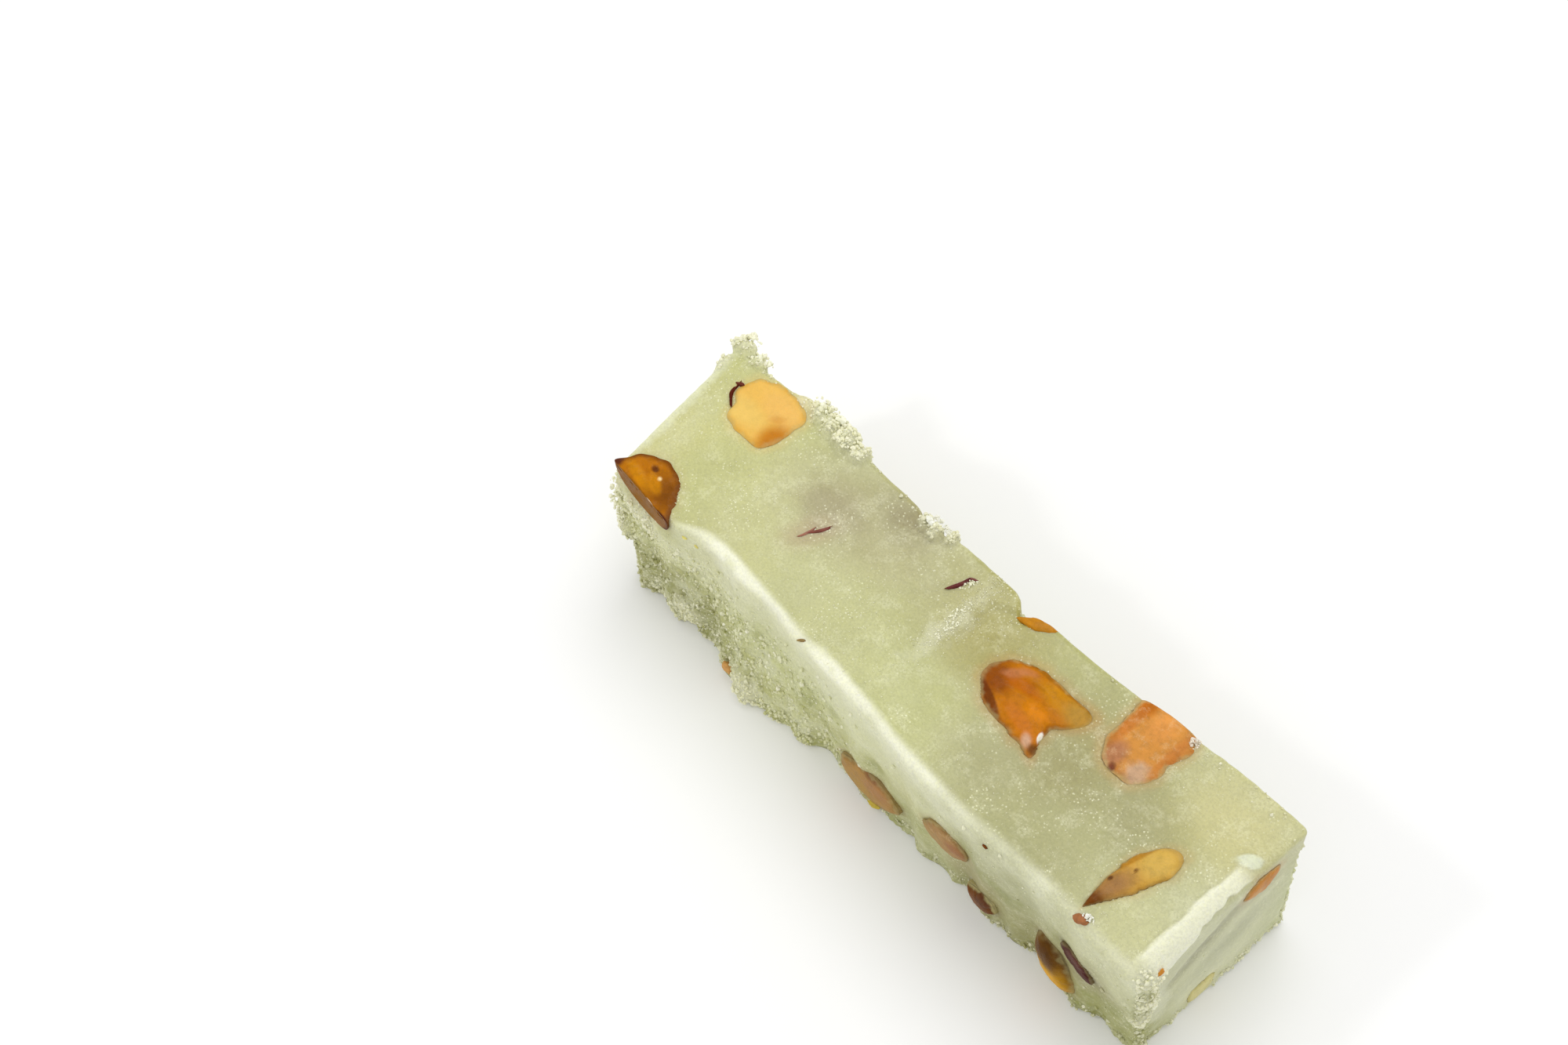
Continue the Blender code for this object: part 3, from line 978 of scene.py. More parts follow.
KERNELS = (
    Kernel(
        "kernel_corner", Slot.AMBER, Face.TOP, -42.1, -11.2, -6, 11.2, 10.8, 0.3, 3.8, (182, 114, 2),
        point=0.1,
        lobes=((-6, 0.9, 13), (-176, 0.5, 10)),
        cut_by=Face.LEFT,
        proud=0.4,
        fade=0.0,
        halo=0.10,
        spots=(
            Spot(0.4, -4.4, 7.0, 3.2, (138, 92, 10), 0.95, softness=0.4),
            Spot(-1.6, 0.9, 3.2, 0.8, (208, 140, 20), 0.7, turn=-8),
            Spot(2.8, 2.2, 2.6, 2.4, (122, 74, 2), 0.8, turn=-24, lift=-0.15, softness=1.3),
            Spot(0.6, 1.9, 1.6, 0.8, (224, 150, 30), 0.6, turn=-20),
            Spot(0.4, -1.5, 7.0, 1.2, (140, 92, 12), 0.85, softness=0.5, ragged=0.25),
            Spot(-1.3, 3.3, 0.6, 0.45, (84, 46, 20), 0.8, lift=-0.2),
            # Two painted highlights: an oval on the skin strip and a small glint.
            Spot(2.5, -1.0, 0.7, 0.32, (246, 226, 196), 0.9, turn=-20, softness=0.5, lift=0.1),
            Spot(0.4, 2.9, 0.3, 0.25, (250, 226, 170), 0.8),
            Spot(5.4, -0.9, 1.3, 0.7, (72, 36, 12), 0.9),
            Spot(-5.8, -0.2, 0.9, 1.0, (96, 54, 44), 0.9),
        ),
        rim=(96, 56, 12),
        rim_strength=0.75,
    ),
    Kernel(
        "kernel_pale", Slot.PALE, Face.TOP, -39.9, 8.7, -8, 10.6, 9.6, 0.4, 4.2, (236, 190, 98),
        point=0.0,
        bend=0.2,
        lobes=((41, 0.6, 26), (-35, 0.7, 22), (-143, -0.95, 19), (-172, 0.3, 10), (135, -0.3, 20)),
        spots=(
            Spot(-1.6, -2.2, 3.6, 1.8, (236, 200, 112), 0.8, turn=10),
            Spot(1.8, 2.0, 3.4, 2.0, (238, 190, 108), 0.7),
            Spot(4.8, -1.6, 1.8, 2.4, (198, 124, 2), 0.95, softness=1.3),
            Spot(2.6, 0.6, 1.0, 0.5, (214, 150, 70), 0.5, turn=50, lift=-0.2, softness=1.6),
        ),
        rim=(208, 150, 46),
        rim_strength=0.6,
    ),
    Kernel(
        "kernel_split", Slot.ORANGE, Face.TOP, 15.6, 3.6, 0, 13.6, 9.6, 0.4, 4.4, (193, 120, 28),
        point=0.0,
        lobes=((150, -0.55, 18), (30, 2.75, 17), (-10, -1.9, 17), (-42, 2.6, 8.5), (-62, 0.9, 14)),
        spots=(
            Spot(-4.6, -0.6, 2.3, 2.2, (142, 76, 10), 0.85, lift=-0.15),
            Spot(-1.0, 1.1, 3.4, 0.9, (186, 104, 12), 0.75, turn=12, lift=-0.25),
            Spot(-3.6, 1.5, 1.5, 0.6, (198, 130, 86), 0.7, turn=40),
            Spot(-2.4, 2.8, 1.2, 0.5, (198, 130, 86), 0.55, turn=20),
            Spot(2.3, -0.7, 1.6, 1.0, (224, 138, 34), 0.8, lift=0.15),
            Spot(1.6, -2.9, 3.0, 1.0, (206, 122, 48), 0.7, turn=-12, lift=0.1),
            Spot(3.0, 3.0, 3.2, 1.6, (202, 142, 42), 0.7, turn=8),
            Spot(6.6, 3.2, 2.6, 2.1, (184, 144, 66), 0.85, lift=-0.25),
            Spot(1.0, 4.4, 5.6, 0.5, (168, 110, 12), 0.8, turn=2, softness=0.6),
            Spot(-3.6, -3.2, 3.2, 0.6, (108, 58, 24), 0.85, turn=-24, softness=0.6),
            Spot(4.0, -4.2, 0.9, 0.6, (214, 176, 148), 0.8, turn=-42),
            Spot(5.5, -4.4, 0.8, 0.7, (108, 68, 8), 0.9),
            # A painted highlight at the notch.
            Spot(4.8, -2.6, 0.3, 0.7, (250, 245, 235), 0.9, turn=20, softness=0.5),
        ),
        rim=(120, 66, 18),
        rim_strength=0.7,
    ),
    Kernel(
        "kernel_rosy", Slot.ROSY, Face.TOP, 29.9, 9.9, 90, 12.2, 8.8, 0.6, 4.2, (212, 148, 76),
        point=0.0,
        lobes=((52, 0.75, 13), (-56, 0.85, 17), (-97, -0.3, 18)),
        fade=0.5,
        cut_by=Face.RIGHT,
        proud=-0.1,
        fullness=2.3,
        spots=(
            Spot(2.6, 0.0, 2.2, 1.6, (226, 156, 84), 0.8),
            Spot(-4.0, 1.8, 1.9, 1.4, (176, 122, 96), 0.75),
            Spot(-5.6, 0.9, 0.6, 0.5, (128, 74, 58), 0.9, lift=-0.3),
            Spot(-4.1, -1.9, 1.5, 1.3, (206, 174, 146), 0.8, ragged=0.5),
            Spot(3.8, 3.4, 2.0, 1.2, (190, 108, 38), 0.85, turn=20),
            Spot(0.0, 3.2, 3.0, 0.8, (198, 118, 60), 0.6),
            Spot(0.5, -3.4, 3.6, 0.7, (202, 126, 66), 0.6),
        ),
        rim=(176, 104, 58),
        rim_strength=0.6,
    ),
    Kernel(
        "kernel_leaf", Slot.STRAW, Face.TOP, 40.9, -4.2, 255, 13.5, 4.9, 0.5, 3.4, (206, 160, 76),
        point=0.85,
        bend=0.4,
        fade=0.2,
        spots=(
            Spot(-3.8, 0.2, 2.6, 1.9, (214, 178, 92), 0.85),
            Spot(2.6, 0.0, 2.8, 1.5, (160, 118, 76), 0.9, softness=1.4),
            Spot(2.2, -1.0, 0.35, 0.3, (92, 56, 26), 0.9),
            Spot(-0.9, -0.3, 0.3, 0.25, (120, 80, 34), 0.9),
            Spot(5.8, 0.4, 1.7, 1.4, (112, 66, 8), 0.95),
            Spot(-1.5, -1.7, 3.5, 0.4, (172, 118, 42), 0.7),
        ),
        rim=(160, 108, 44),
        rim_strength=0.6,
    ),
    Kernel(
        "kernel_low_long", Slot.STRAW, Face.LEFT, 2.7, 5.4, 15, 11.8, 8.6, 0.5, 3.6, (178, 138, 80),
        spots=(
            Spot(2.2, 1.2, 2.4, 1.8, (176, 128, 86), 0.7),
            Spot(-2.8, -1.4, 2.8, 1.8, (184, 146, 74), 0.7),
            Spot(2.4, 3.4, 2.2, 0.8, (128, 84, 62), 0.7, turn=-10),
        ),
        rim=(126, 88, 40),
        rim_strength=0.7,
    ),
    Kernel(
        "kernel_low_rosy", Slot.ROSY, Face.LEFT, 17.9, 13.6, -30, 7.4, 7.0, 0.5, 3.2, (172, 136, 90),
        point=0.2,
        spots=(
            Spot(1.4, 1.4, 1.6, 1.2, (158, 108, 78), 0.7),
            Spot(-1.6, -1.2, 1.6, 1.4, (178, 148, 98), 0.6),
        ),
        rim=(132, 98, 60),
        rim_strength=0.6,
    ),
    Kernel(
        "kernel_foot_brown", Slot.BROWN, Face.LEFT, 24.2, 4.8, 40, 6.0, 4.6, 0.8, 2.8, (122, 78, 44),
        point=0.2,
        fade=0.7,
        spots=(
            Spot(-2.0, 0.0, 1.6, 1.4, (126, 84, 60), 0.7),
            Spot(2.0, 0.6, 1.8, 1.1, (92, 60, 48), 0.7),
        ),
        rim=(84, 52, 36),
    ),
    Kernel(
        "kernel_foot_green", Slot.GREEN, Face.LEFT, 37.0, 7.2, 112, 11.2, 7.0, 1.5, 3.6, (132, 94, 8),
        point=0.3,
        spots=(
            Spot(-2.2, 0.4, 3.6, 2.9, (226, 168, 44), 0.9, softness=1.3),
            Spot(2.4, -0.4, 2.6, 2.0, (92, 62, 0), 0.9),
            Spot(0.0, 2.6, 2.4, 0.8, (164, 122, 52), 0.7),
        ),
        rim=(74, 44, 14),
        rim_strength=0.7,
    ),
    Kernel(
        "skin_purple", Slot.SKIN, Face.LEFT, 40.9, 14.7, -40, 6.8, 3.2, 0.25, 1.8, (78, 40, 26),
        fade=0.25,
        spots=(
            Spot(-0.8, 0.6, 1.8, 0.7, (116, 78, 68), 0.6),
            Spot(1.6, -0.4, 1.6, 0.9, (86, 52, 48), 0.7),
        ),
        rim=(80, 50, 40),
    ),
    Kernel(
        "kernel_end_orange", Slot.ORANGE, Face.NEAR, 7.7, 23.2, 12, 5.8, 4.4, 0.3, 2.4, (198, 136, 68),
        point=0.2,
        spots=(
            Spot(1.2, 0.4, 1.6, 1.0, (196, 134, 66), 0.7),
            Spot(-1.4, -0.4, 1.2, 0.9, (204, 164, 116), 0.6),
        ),
        rim=(176, 124, 72),
    ),
    Kernel(
        "kernel_end_green", Slot.PALE_GREEN, Face.NEAR, -0.6, 3.0, 12, 4.8, 4.2, 0.3, 2.2, (218, 210, 150),
        point=0.2,
        rim=(200, 190, 120),
    ),
    Kernel(
        "kernel_back_amber", Slot.AMBER, Face.RIGHT, -31.0, 12.0, 18, 12.2, 7.6, 0.5, 3.8, (206, 138, 34),
        point=0.4,
        spots=(
            Spot(2.4, 0.6, 2.6, 1.4, (226, 164, 60), 0.7),
            Spot(-3.2, -1.2, 2.2, 1.4, (150, 84, 16), 0.8),
        ),
        rim=(104, 58, 16),
        rim_strength=0.7,
    ),
    Kernel(
        "kernel_back_green", Slot.GREEN, Face.RIGHT, -7.5, 17.5, -35, 9.4, 6.0, 0.4, 3.4, (138, 118, 32),
        point=0.35,
        spots=(
            Spot(1.6, 0.4, 2.2, 1.2, (168, 144, 48), 0.7),
            Spot(-2.4, -0.6, 1.6, 1.2, (96, 70, 16), 0.7),
        ),
        rim=(78, 50, 18),
        rim_strength=0.7,
    ),
    Kernel(
        "kernel_back_orange", Slot.ORANGE, Face.RIGHT, 15.5, 8.2, 12, 12.6, 7.8, 0.5, 3.8, (202, 120, 40),
        point=0.45,
        spots=(
            Spot(2.2, -0.6, 2.8, 1.4, (224, 144, 56), 0.7),
            Spot(-3.6, 1.0, 2.2, 1.4, (142, 68, 16), 0.8),
        ),
        rim=(116, 62, 20),
        rim_strength=0.7,
    ),
    Kernel(
        "kernel_back_rosy", Slot.ROSY, Face.RIGHT, 41.5, 14.5, 62, 8.6, 5.2, 0.4, 3.2, (206, 142, 88),
        point=0.4,
        spots=(
            Spot(1.2, 0.4, 2.0, 1.0, (222, 164, 108), 0.7),
            Spot(-2.2, -0.6, 1.4, 1.0, (168, 98, 60), 0.7),
        ),
        rim=(150, 92, 58),
    ),
    Kernel(
        "kernel_far_pale", Slot.PALE, Face.FAR, 3.5, 12.5, 25, 10.4, 6.8, 0.4, 3.6, (236, 186, 98),
        spots=(
            Spot(2.0, 0.6, 2.2, 1.2, (244, 204, 124), 0.7),
            Spot(-2.8, -1.0, 2.0, 1.4, (204, 140, 48), 0.7),
        ),
        rim=(186, 132, 56),
        rim_strength=0.6,
    ),
)


# --------------------------------------------------------------------------------------------- slab


@dataclass(frozen=True)
class Anchor:
    """A place in millimetres where the nougat has a known colour."""

    place: Triple
    colour: Triple


# Partly painted light: the anchors high on the cut side and on the near end are set lighter than the top,
# to make up for light that those faces get less of.
NOUGAT_COLOURS = (
    Anchor((-44, 3, 27), (212, 211, 156)),
    Anchor((-36, -4, 27), (208, 208, 154)),
    Anchor((-28, -8, 27), (204, 203, 147)),
    Anchor((-12, -5, 27), (199, 199, 146)),
    Anchor((-14, 9, 27), (196, 194, 146)),
    Anchor((4, -8, 27), (201, 202, 145)),
    Anchor((6, 8, 27), (186, 181, 124)),
    Anchor((24, -8, 27), (186, 185, 138)),
    Anchor((24, 2, 27), (182, 178, 130)),
    Anchor((38, 3, 27), (180, 178, 130)),
    Anchor((45, -9, 27), (208, 207, 160)),
    Anchor((43, 10, 27), (212, 209, 162)),
    Anchor((-44, -12, 18), (214, 214, 162)),
    Anchor((-42, -12, 6), (178, 177, 122)),
    Anchor((-16, -12, 18), (214, 215, 162)),
    Anchor((-16, -13, 5), (202, 203, 144)),
    Anchor((8, -12, 18), (206, 206, 154)),
    Anchor((8, -12, 4), (186, 187, 136)),
    Anchor((28, -12, 18), (182, 182, 140)),
    Anchor((30, -12, 5), (170, 168, 120)),
    Anchor((44, -12, 20), (199, 199, 154)),
    Anchor((46, -12, 6), (170, 171, 116)),
    Anchor((51, -4, 22), (210, 211, 176)),
    Anchor((51, 4, 16), (213, 214, 177)),
    Anchor((51, 0, 6), (222, 223, 187)),
    Anchor((40, 14, 12), (188, 196, 138)),
    Anchor((10, 14, 14), (190, 197, 136)),
    Anchor((-20, 14, 12), (190, 197, 138)),
    Anchor((-45, 14, 14), (194, 198, 142)),
    Anchor((-51, 0, 14), (192, 197, 140)),
    Anchor((0, 0, 0), (196, 197, 148)),
)

STAINS = {
    Face.TOP: (
        Spot(-17, 7.2, 12.0, 6.4, (181, 174, 134), 0.62, turn=8, softness=1.6, ragged=0.25),
        Spot(-22, 5.0, 4.4, 3.0, (168, 156, 126), 0.55, turn=12, softness=1.6, ragged=0.3),
        Spot(-13, 11.0, 4.6, 2.8, (156, 147, 112), 0.65, softness=1.6, ragged=0.3),
        Spot(-21.3, 0.6, 3.6, 2.0, (186, 162, 134), 0.55, turn=64, softness=1.4),
        Spot(21, -5.2, 7.5, 4.6, (180, 176, 136), 0.45, softness=1.8, ragged=0.3),
        Spot(36, 2.0, 6.0, 4.0, (178, 173, 134), 0.45, softness=1.8, ragged=0.3),
        Spot(34, -9.0, 5.0, 3.0, (180, 177, 132), 0.45, softness=1.8, ragged=0.3),
        Spot(45, 8.0, 7.0, 5.0, (216, 208, 144), 0.4, softness=1.8),
        Spot(-47, -4.0, 4.0, 6.0, (216, 209, 146), 0.4, softness=1.6),
        Spot(22.5, 6.6, 2.6, 2.4, (186, 168, 112), 0.5, softness=1.6),
        Spot(7.0, 6.6, 4.8, 5.0, (176, 168, 102), 0.85, softness=1.7, ragged=0.2),
        Spot(24.5, 1.0, 5.0, 4.0, (170, 164, 118), 0.6, softness=1.7, ragged=0.3),
        Spot(-13.5, 11.3, 2.6, 1.6, (160, 150, 112), 0.6, softness=1.4, ragged=0.3),
        Spot(-45.0, -3.0, 1.6, 8.0, (222, 222, 178), 0.5, turn=8, softness=1.6, ragged=0.4),
        Spot(1.4, 4.0, 1.4, 6.5, (236, 236, 208), 0.4, softness=1.2, ragged=1.3),
        Spot(49.1, 7.2, 1.4, 0.9, (232, 237, 214), 0.8, turn=45, lift=0.22, softness=0.5, ragged=1.0),
        Spot(-49.0, 1.5, 1.2, 11.0, (238, 240, 212), 0.7, turn=8, softness=1.3, ragged=0.5),
        Spot(-25.6, -10.3, 4.4, 1.2, (240, 240, 212), 0.7, turn=3, lift=0.12, softness=0.9, ragged=0.5),
        Spot(-3.6, -11.6, 3.8, 1.5, (246, 246, 220), 0.8, turn=-14, lift=0.12, softness=0.9, ragged=0.5),
        Spot(9.0, -12.6, 4.5, 1.0, (234, 234, 202), 0.5, turn=-5, softness=1.0, ragged=0.5),
    ),
    Face.NEAR: (
        Spot(-1.2, 19.0, 8.0, 1.5, (158, 156, 130), 0.6, turn=30, softness=1.5, ragged=0.25, lift=-0.25),
        Spot(7.4, 20.2, 3.0, 1.4, (176, 168, 140), 0.5, softness=1.4),
        Spot(3.0, 12.0, 7.0, 3.0, (178, 180, 150), 0.45, turn=24, softness=1.6, ragged=0.2),
        Spot(-8.5, 12.0, 1.6, 7.0, (228, 229, 200), 0.6, softness=0.8, ragged=0.5),
    ),
    Face.LEFT: (
        Spot(22, 9.0, 5.0, 4.0, (176, 164, 126), 0.5, softness=1.6, ragged=0.3),
        Spot(41, 13.0, 4.5, 4.5, (160, 148, 122), 0.5, softness=1.6, ragged=0.3),
        Spot(-14, 16.0, 14.0, 3.0, (214, 218, 160), 0.4, softness=1.8, ragged=0.4),
        Spot(-1, 20.5, 9.0, 4.5, (242, 244, 206), 0.5, softness=1.8, ragged=0.3),
        Spot(-31, 18.5, 7.0, 3.5, (246, 246, 208), 0.65, softness=1.6, ragged=0.4),
        Spot(-32, 7.5, 8.0, 5.0, (146, 146, 92), 0.55, softness=1.8, ragged=0.4),
    ),
}


@dataclass(frozen=True)
class Growth:
    """A knob of packed crumbs that swells the skin outwards, in millimetres."""

    place: Triple
    reach: float
    rise: float

    def share(self, points: np.ndarray, noise: np.ndarray) -> np.ndarray:
        """1 in its middle, falling to 0 at its reach, with an edge made ragged by noise."""
        distance = np.linalg.norm(points / MM - np.array(self.place), axis=-1) / self.reach
        return 1.0 - smooth(distance + 0.35 * noise, 0.35, 1.05)


GROWTHS = (
    Growth((-37.4, 14.0, 26.6), 2.0, 0.9),
    Growth((-34.6, 13.9, 26.6), 2.2, 1.1),
    Growth((-31.6, 13.8, 26.4), 2.6, 1.3),
    Growth((-28.4, 13.5, 26.4), 2.5, 1.3),
    Growth((-25.7, 13.2, 26.6), 1.8, 0.9),
    Growth((-51.3, 14.2, 26.6), 1.9, 1.3),
    Growth((-48.9, 14.9, 26.6), 2.1, 1.4),
    Growth((-46.2, 14.7, 26.6), 2.2, 1.0),
    Growth((-51.3, 10.0, 26.6), 2.4, 0.6),
    Growth((-11.6, 12.4, 27.0), 1.5, 1.2),
    Growth((-9.8, 12.3, 27.0), 1.5, 1.0),
    Growth((-7.4, 12.8, 26.8), 1.2, 0.6),
    Growth((-42.0, -11.0, 21.6), 5.4, 0.7),
    Growth((-47.6, -10.6, 24.5), 2.4, 1.2),
    Growth((-49.0, -10.8, 22.0), 2.6, 1.4),
    Growth((-48.6, -11.2, 17.5), 2.6, 1.6),
    Growth((-48.0, -11.6, 12.5), 2.6, 1.4),
    Growth((-21.0, -13.0, 3.0), 4.0, 0.9),
    Growth((-35.0, -12.2, 5.0), 3.4, 0.7),
    Growth((50.6, -10.6, 24.2), 2.2, 0.5),
    Growth((50.6, -11.2, 18.5), 2.0, 0.6),
    Growth((50.6, -11.4, 12.5), 2.0, 0.6),
    Growth((34.2, 14.0, 26.8), 1.0, 0.9),
)


@dataclass(frozen=True)
class Tones:
    """The nougat's seen colours where it isn't plain, some of them painted light and shade."""

    # Pale skin folded over the near end, partly painted glow where light shines through it.
    lip: Triple = (250, 250, 228)
    # A pale band on the cut side's upper part, partly painted highlight.
    shoulder: Triple = (232, 233, 198)
    # Painted highlight on the cut side's rounded top edge, partly pale bloom.
    edge: Triple = (254, 254, 232)
    torn: Triple = (228, 229, 194)
    # Painted shade for a darker mottle low on the cut side.
    torn_shade: Triple = (150, 154, 92)
    knob: Triple = (240, 238, 204)
    grain: Triple = (236, 237, 204)
    # Painted shade where the crumbly skin is sunk.
    gap: Triple = (176, 180, 116)


@dataclass
class Skin:
    """The slab's finished skin, on which the crumbs sit."""

    points: np.ndarray
    out: np.ndarray
    crumble: np.ndarray
    tint: np.ndarray

    def seat(
        self, form: BarForm, face: Face, along: float, across: float, turn: float
    ) -> tuple[np.ndarray, np.ndarray]:
        """Finds where something sits.

        Args:
            form: The bar's form.
            face: The face that it sits on.
            along: Its first coordinate there, in mm.
            across: Its second coordinate there, in mm.
            turn: How far it is turned, in degrees.

        Returns:
            The skin's nearest point, and the face's directions there, turned, as columns.
        """
        nominal = form.on_face(face, along * MM, across * MM)
        nearest = self.points[np.argmin(np.linalg.norm(self.points - nominal, axis=-1))]
        return nearest, form.axes(face, along * MM, across * MM) @ turned_by(turn)


@dataclass
class NougatSlab:
    """The nougat itself: a rounded block, warped to the form, waxy where cut and crumbly where torn."""

    form: BarForm
    finish: NougatFinish = NougatFinish()
    tones: Tones = Tones()
    cells: tuple[int, int, int] = (330, 86, 84)
    middle_width: float = 26.5 * MM
    left_top_edge: float = 2.1 * MM
    right_top_edge: float = 0.8 * MM
    near_top_edge: float = 2.4 * MM
    far_top_edge: float = 0.9 * MM
    upright_edge: float = 1.4 * MM
    foot_edge: float = 0.7 * MM
    press: float = 1.1 * MM
    grain: float = 1.35 * MM
    fine_grain: float = 0.7 * MM
    lip_rise: float = 0.28 * MM

    def edge_radius(self, shares: np.ndarray) -> np.ndarray:
        """The rounding: blends from the foot to the uprights to the top edges.

        Args:
            shares: Points as shares of the box.

        Returns:
            The radius at each.
        """
        along, across, up = np.moveaxis(shares, -1, 0)
        top = blend(self.left_top_edge, self.right_top_edge, smooth(across, 0.3, 0.8))
        near_edge = blend(self.near_top_edge, self.right_top_edge, smooth(across, 0.62, 0.95))
        top = blend(top, near_edge, smooth(along, 0.94, 0.99))
        top = blend(top, self.far_top_edge, smooth(along, 0.18, 0.13))
        upper = blend(self.upright_edge, top, smooth(up, 0.80, 0.93))
        return blend(self.foot_edge, upper, smooth(up, 0.03, 0.14))

    def rounded(self, shares: np.ndarray) -> tuple[np.ndarray, np.ndarray]:
        """Rounds the box: each point goes to its radius from the nearest point of an inner box.

        Args:
            shares: Points of the box's skin, as shares of it.

        Returns:
            The rounded points as shares, and their outward directions.
        """
        size = np.array((self.form.length, self.middle_width, self.form.height))
        place = shares * size
        radius = self.edge_radius(shares)[:, None]
        core = np.clip(place, radius, size - radius)
        out = place - core
        out /= np.linalg.norm(out, axis=-1, keepdims=True)
        return (core + out * radius) / size, out

    def crumbliness(self, points: np.ndarray, out: np.ndarray) -> np.ndarray:
        """How crumbly the skin is: on the torn faces, the foot and the far half of the cut side.

        Args:
            points: Points of the skin.
            out: Their outward directions.

        Returns:
            Shares from 0 to 1.
        """
        x, y, z = np.moveaxis(points, -1, 0)
        patches = 0.15 * rough_cloud(points, 7 * MM, 101)
        foot = smooth(z, 5.0 * MM, 1.2 * MM)
        torn_half = smooth(x, 12 * MM, -18 * MM) * smooth(z, 26 * MM, 17 * MM)
        far_corner = smooth(x, -44 * MM, -49 * MM)
        on_left = 0.12 + 0.50 * torn_half + 0.50 * foot + 0.4 * far_corner
        on_left = on_left * Face.LEFT.share(out, 0.45, 0.9)
        on_near = 0.04 + 0.55 * smooth(z, 3.5 * MM, 1 * MM) + 0.6 * smooth(y, -9 * MM, -11 * MM)
        on_near = on_near * Face.NEAR.share(out, 0.4, 0.9)
        torn = np.maximum(Face.RIGHT.share(out, 0.3, 0.85), Face.FAR.share(out, 0.3, 0.85))
        torn = torn * smooth(z, 26 * MM, 21 * MM)
        total = np.maximum.reduce((on_left, torn, on_near))
        upper_rim = smooth(z, 25.4 * MM, 26.6 * MM) * smooth(y, 11.6 * MM, 13.4 * MM)
        ragged_rim = upper_rim * blend(0.18, 0.5, smooth(x, -22 * MM, -28 * MM))
        crumble = np.clip(np.maximum(total, ragged_rim) + patches * (total > 0.05), 0.0, 1.0)
        return crumble * Face.TOP.share(out, -0.75, -0.35)

    def relief(
        self, points: np.ndarray, out: np.ndarray, crumble: np.ndarray, grains: np.ndarray
    ) -> np.ndarray:
        """How far the skin stands out: slow waves where waxy, packed grains and gaps where torn.

        Args:
            points: Points of the skin.
            out: Their outward directions.
            crumble: How crumbly they are.
            grains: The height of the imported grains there, in mm.

        Returns:
            Heights in metres.
        """
        torn = grains + 0.45 * rough_cloud(points, 3.4 * MM, 23) + 0.4 * cloud(points, 8 * MM, 29)
        slumped = 0.45 * cloud(points, 5.5 * MM, 41) * Face.LEFT.share(out, 0.4, 0.9)
        slumped = slumped * smooth(points[:, 0], 16 * MM, -10 * MM)
        waxy = 0.11 * cloud(points, 9 * MM, 3) + 0.06 * cloud(points, 3.2 * MM, 5)
        waxy = waxy + 0.035 * cloud(points, 1.1 * MM, 9)
        streaks = 0.05 * cloud(points * np.array((0.12, 0.12, 1.0)), 1.1 * MM, 13)
        streaks = streaks * np.abs(out[:, 1] + out[:, 0])
        foot = smooth(points[:, 2], 3.6 * MM, 0.6 * MM) * (1.0 - np.abs(out[:, 2]))
        jags = 0.85 * rough_cloud(points, 2.3 * MM, 37) * foot
        standing = Face.TOP.share(out, -0.75, -0.35)
        return (waxy + slumped + streaks + (torn - 0.1) * crumble**1.3 * 0.9 + jags) * standing * MM

    def base_tint(self, points: np.ndarray) -> np.ndarray:
        """The nougat's colour, partly painted light: the anchors' colours, each weighted by distance to
        the minus four.

        Args:
            points: Points of the skin.

        Returns:
            A linear colour for each.
        """
        total = np.zeros((len(points), 3))
        weights = np.zeros((len(points), 1))
        for anchor in NOUGAT_COLOURS:
            distance = np.linalg.norm(points / MM - np.array(anchor.place), axis=-1)[:, None]
            weight = 1.0 / (distance**2 + 9.0) ** 2
            total += weight * pigment(anchor.colour, NOUGAT_VEIL)
            weights += weight
        drifting = 1.0 + 0.07 * rough_cloud(points, 12 * MM, 141)
        drifting = drifting + 0.07 * rough_cloud(points, 3.6 * MM, 151)
        return total / weights * drifting[:, None]

    def lip(self, points: np.ndarray) -> np.ndarray:
        """Where the top's skin folds over the near end: above a line that wanders, between two ends.

        Args:
            points: Points of the skin.

        Returns:
            Shares from 0 to 1.
        """
        x, y, z = np.moveaxis(points, -1, 0)
        wander = 0.4 * MM * cloud(points, 3.5 * MM, 67) + 0.25 * MM * cloud(points, 1.2 * MM, 71)
        lower = 22.9 * MM + 3.2 * MM * smooth(y, -8.5 * MM, -1.0 * MM)
        above = smooth(z - lower + wander, -0.1 * MM, 0.2 * MM)
        between = smooth(y, 8 * MM, 4 * MM) * smooth(y, -12.5 * MM, -9.5 * MM)
        return smooth(x - 48.3 * MM + wander, -0.2 * MM, 0.3 * MM) * above * between

    def stained_and_lit(
        self, points: np.ndarray, out: np.ndarray, tint: np.ndarray
    ) -> tuple[np.ndarray, np.ndarray]:
        """Lays the stains and the smears over the tint, and the near end's lip, paled partly as painted
        glow where light shines through its thin edge.

        Args:
            points: Points of the skin.
            out: Their outward directions.
            tint: Their colours so far.

        Returns:
            The new colours, and how far the smears stand out.
        """
        x, y, z = np.moveaxis(points, -1, 0) / MM
        facing = {
            Face.TOP: (x, y, Face.TOP.share(out, 0.35, 0.6)),
            Face.NEAR: (y, z, Face.NEAR.share(out, 0.5, 0.8)),
            Face.LEFT: (x, z, Face.LEFT.share(out, 0.5, 0.8)),
        }
        noise = rough_cloud(points, 1.9 * MM, 61)
        lift = np.zeros(len(points))
        for face, (first, second, weight) in facing.items():
            for stain in STAINS[face]:
                share = stain.weight(first, second, noise) * weight
                tint = laid(tint, stain.colour, share * stain.strength)
                lift += share * stain.lift * MM
        # The lip: a pale fold of skin, partly painted glow of light through its thin edge, raised a
        # little.
        lip = self.lip(points)
        return laid(tint, self.tones.lip, lip * 0.85), lift + lip * self.lip_rise

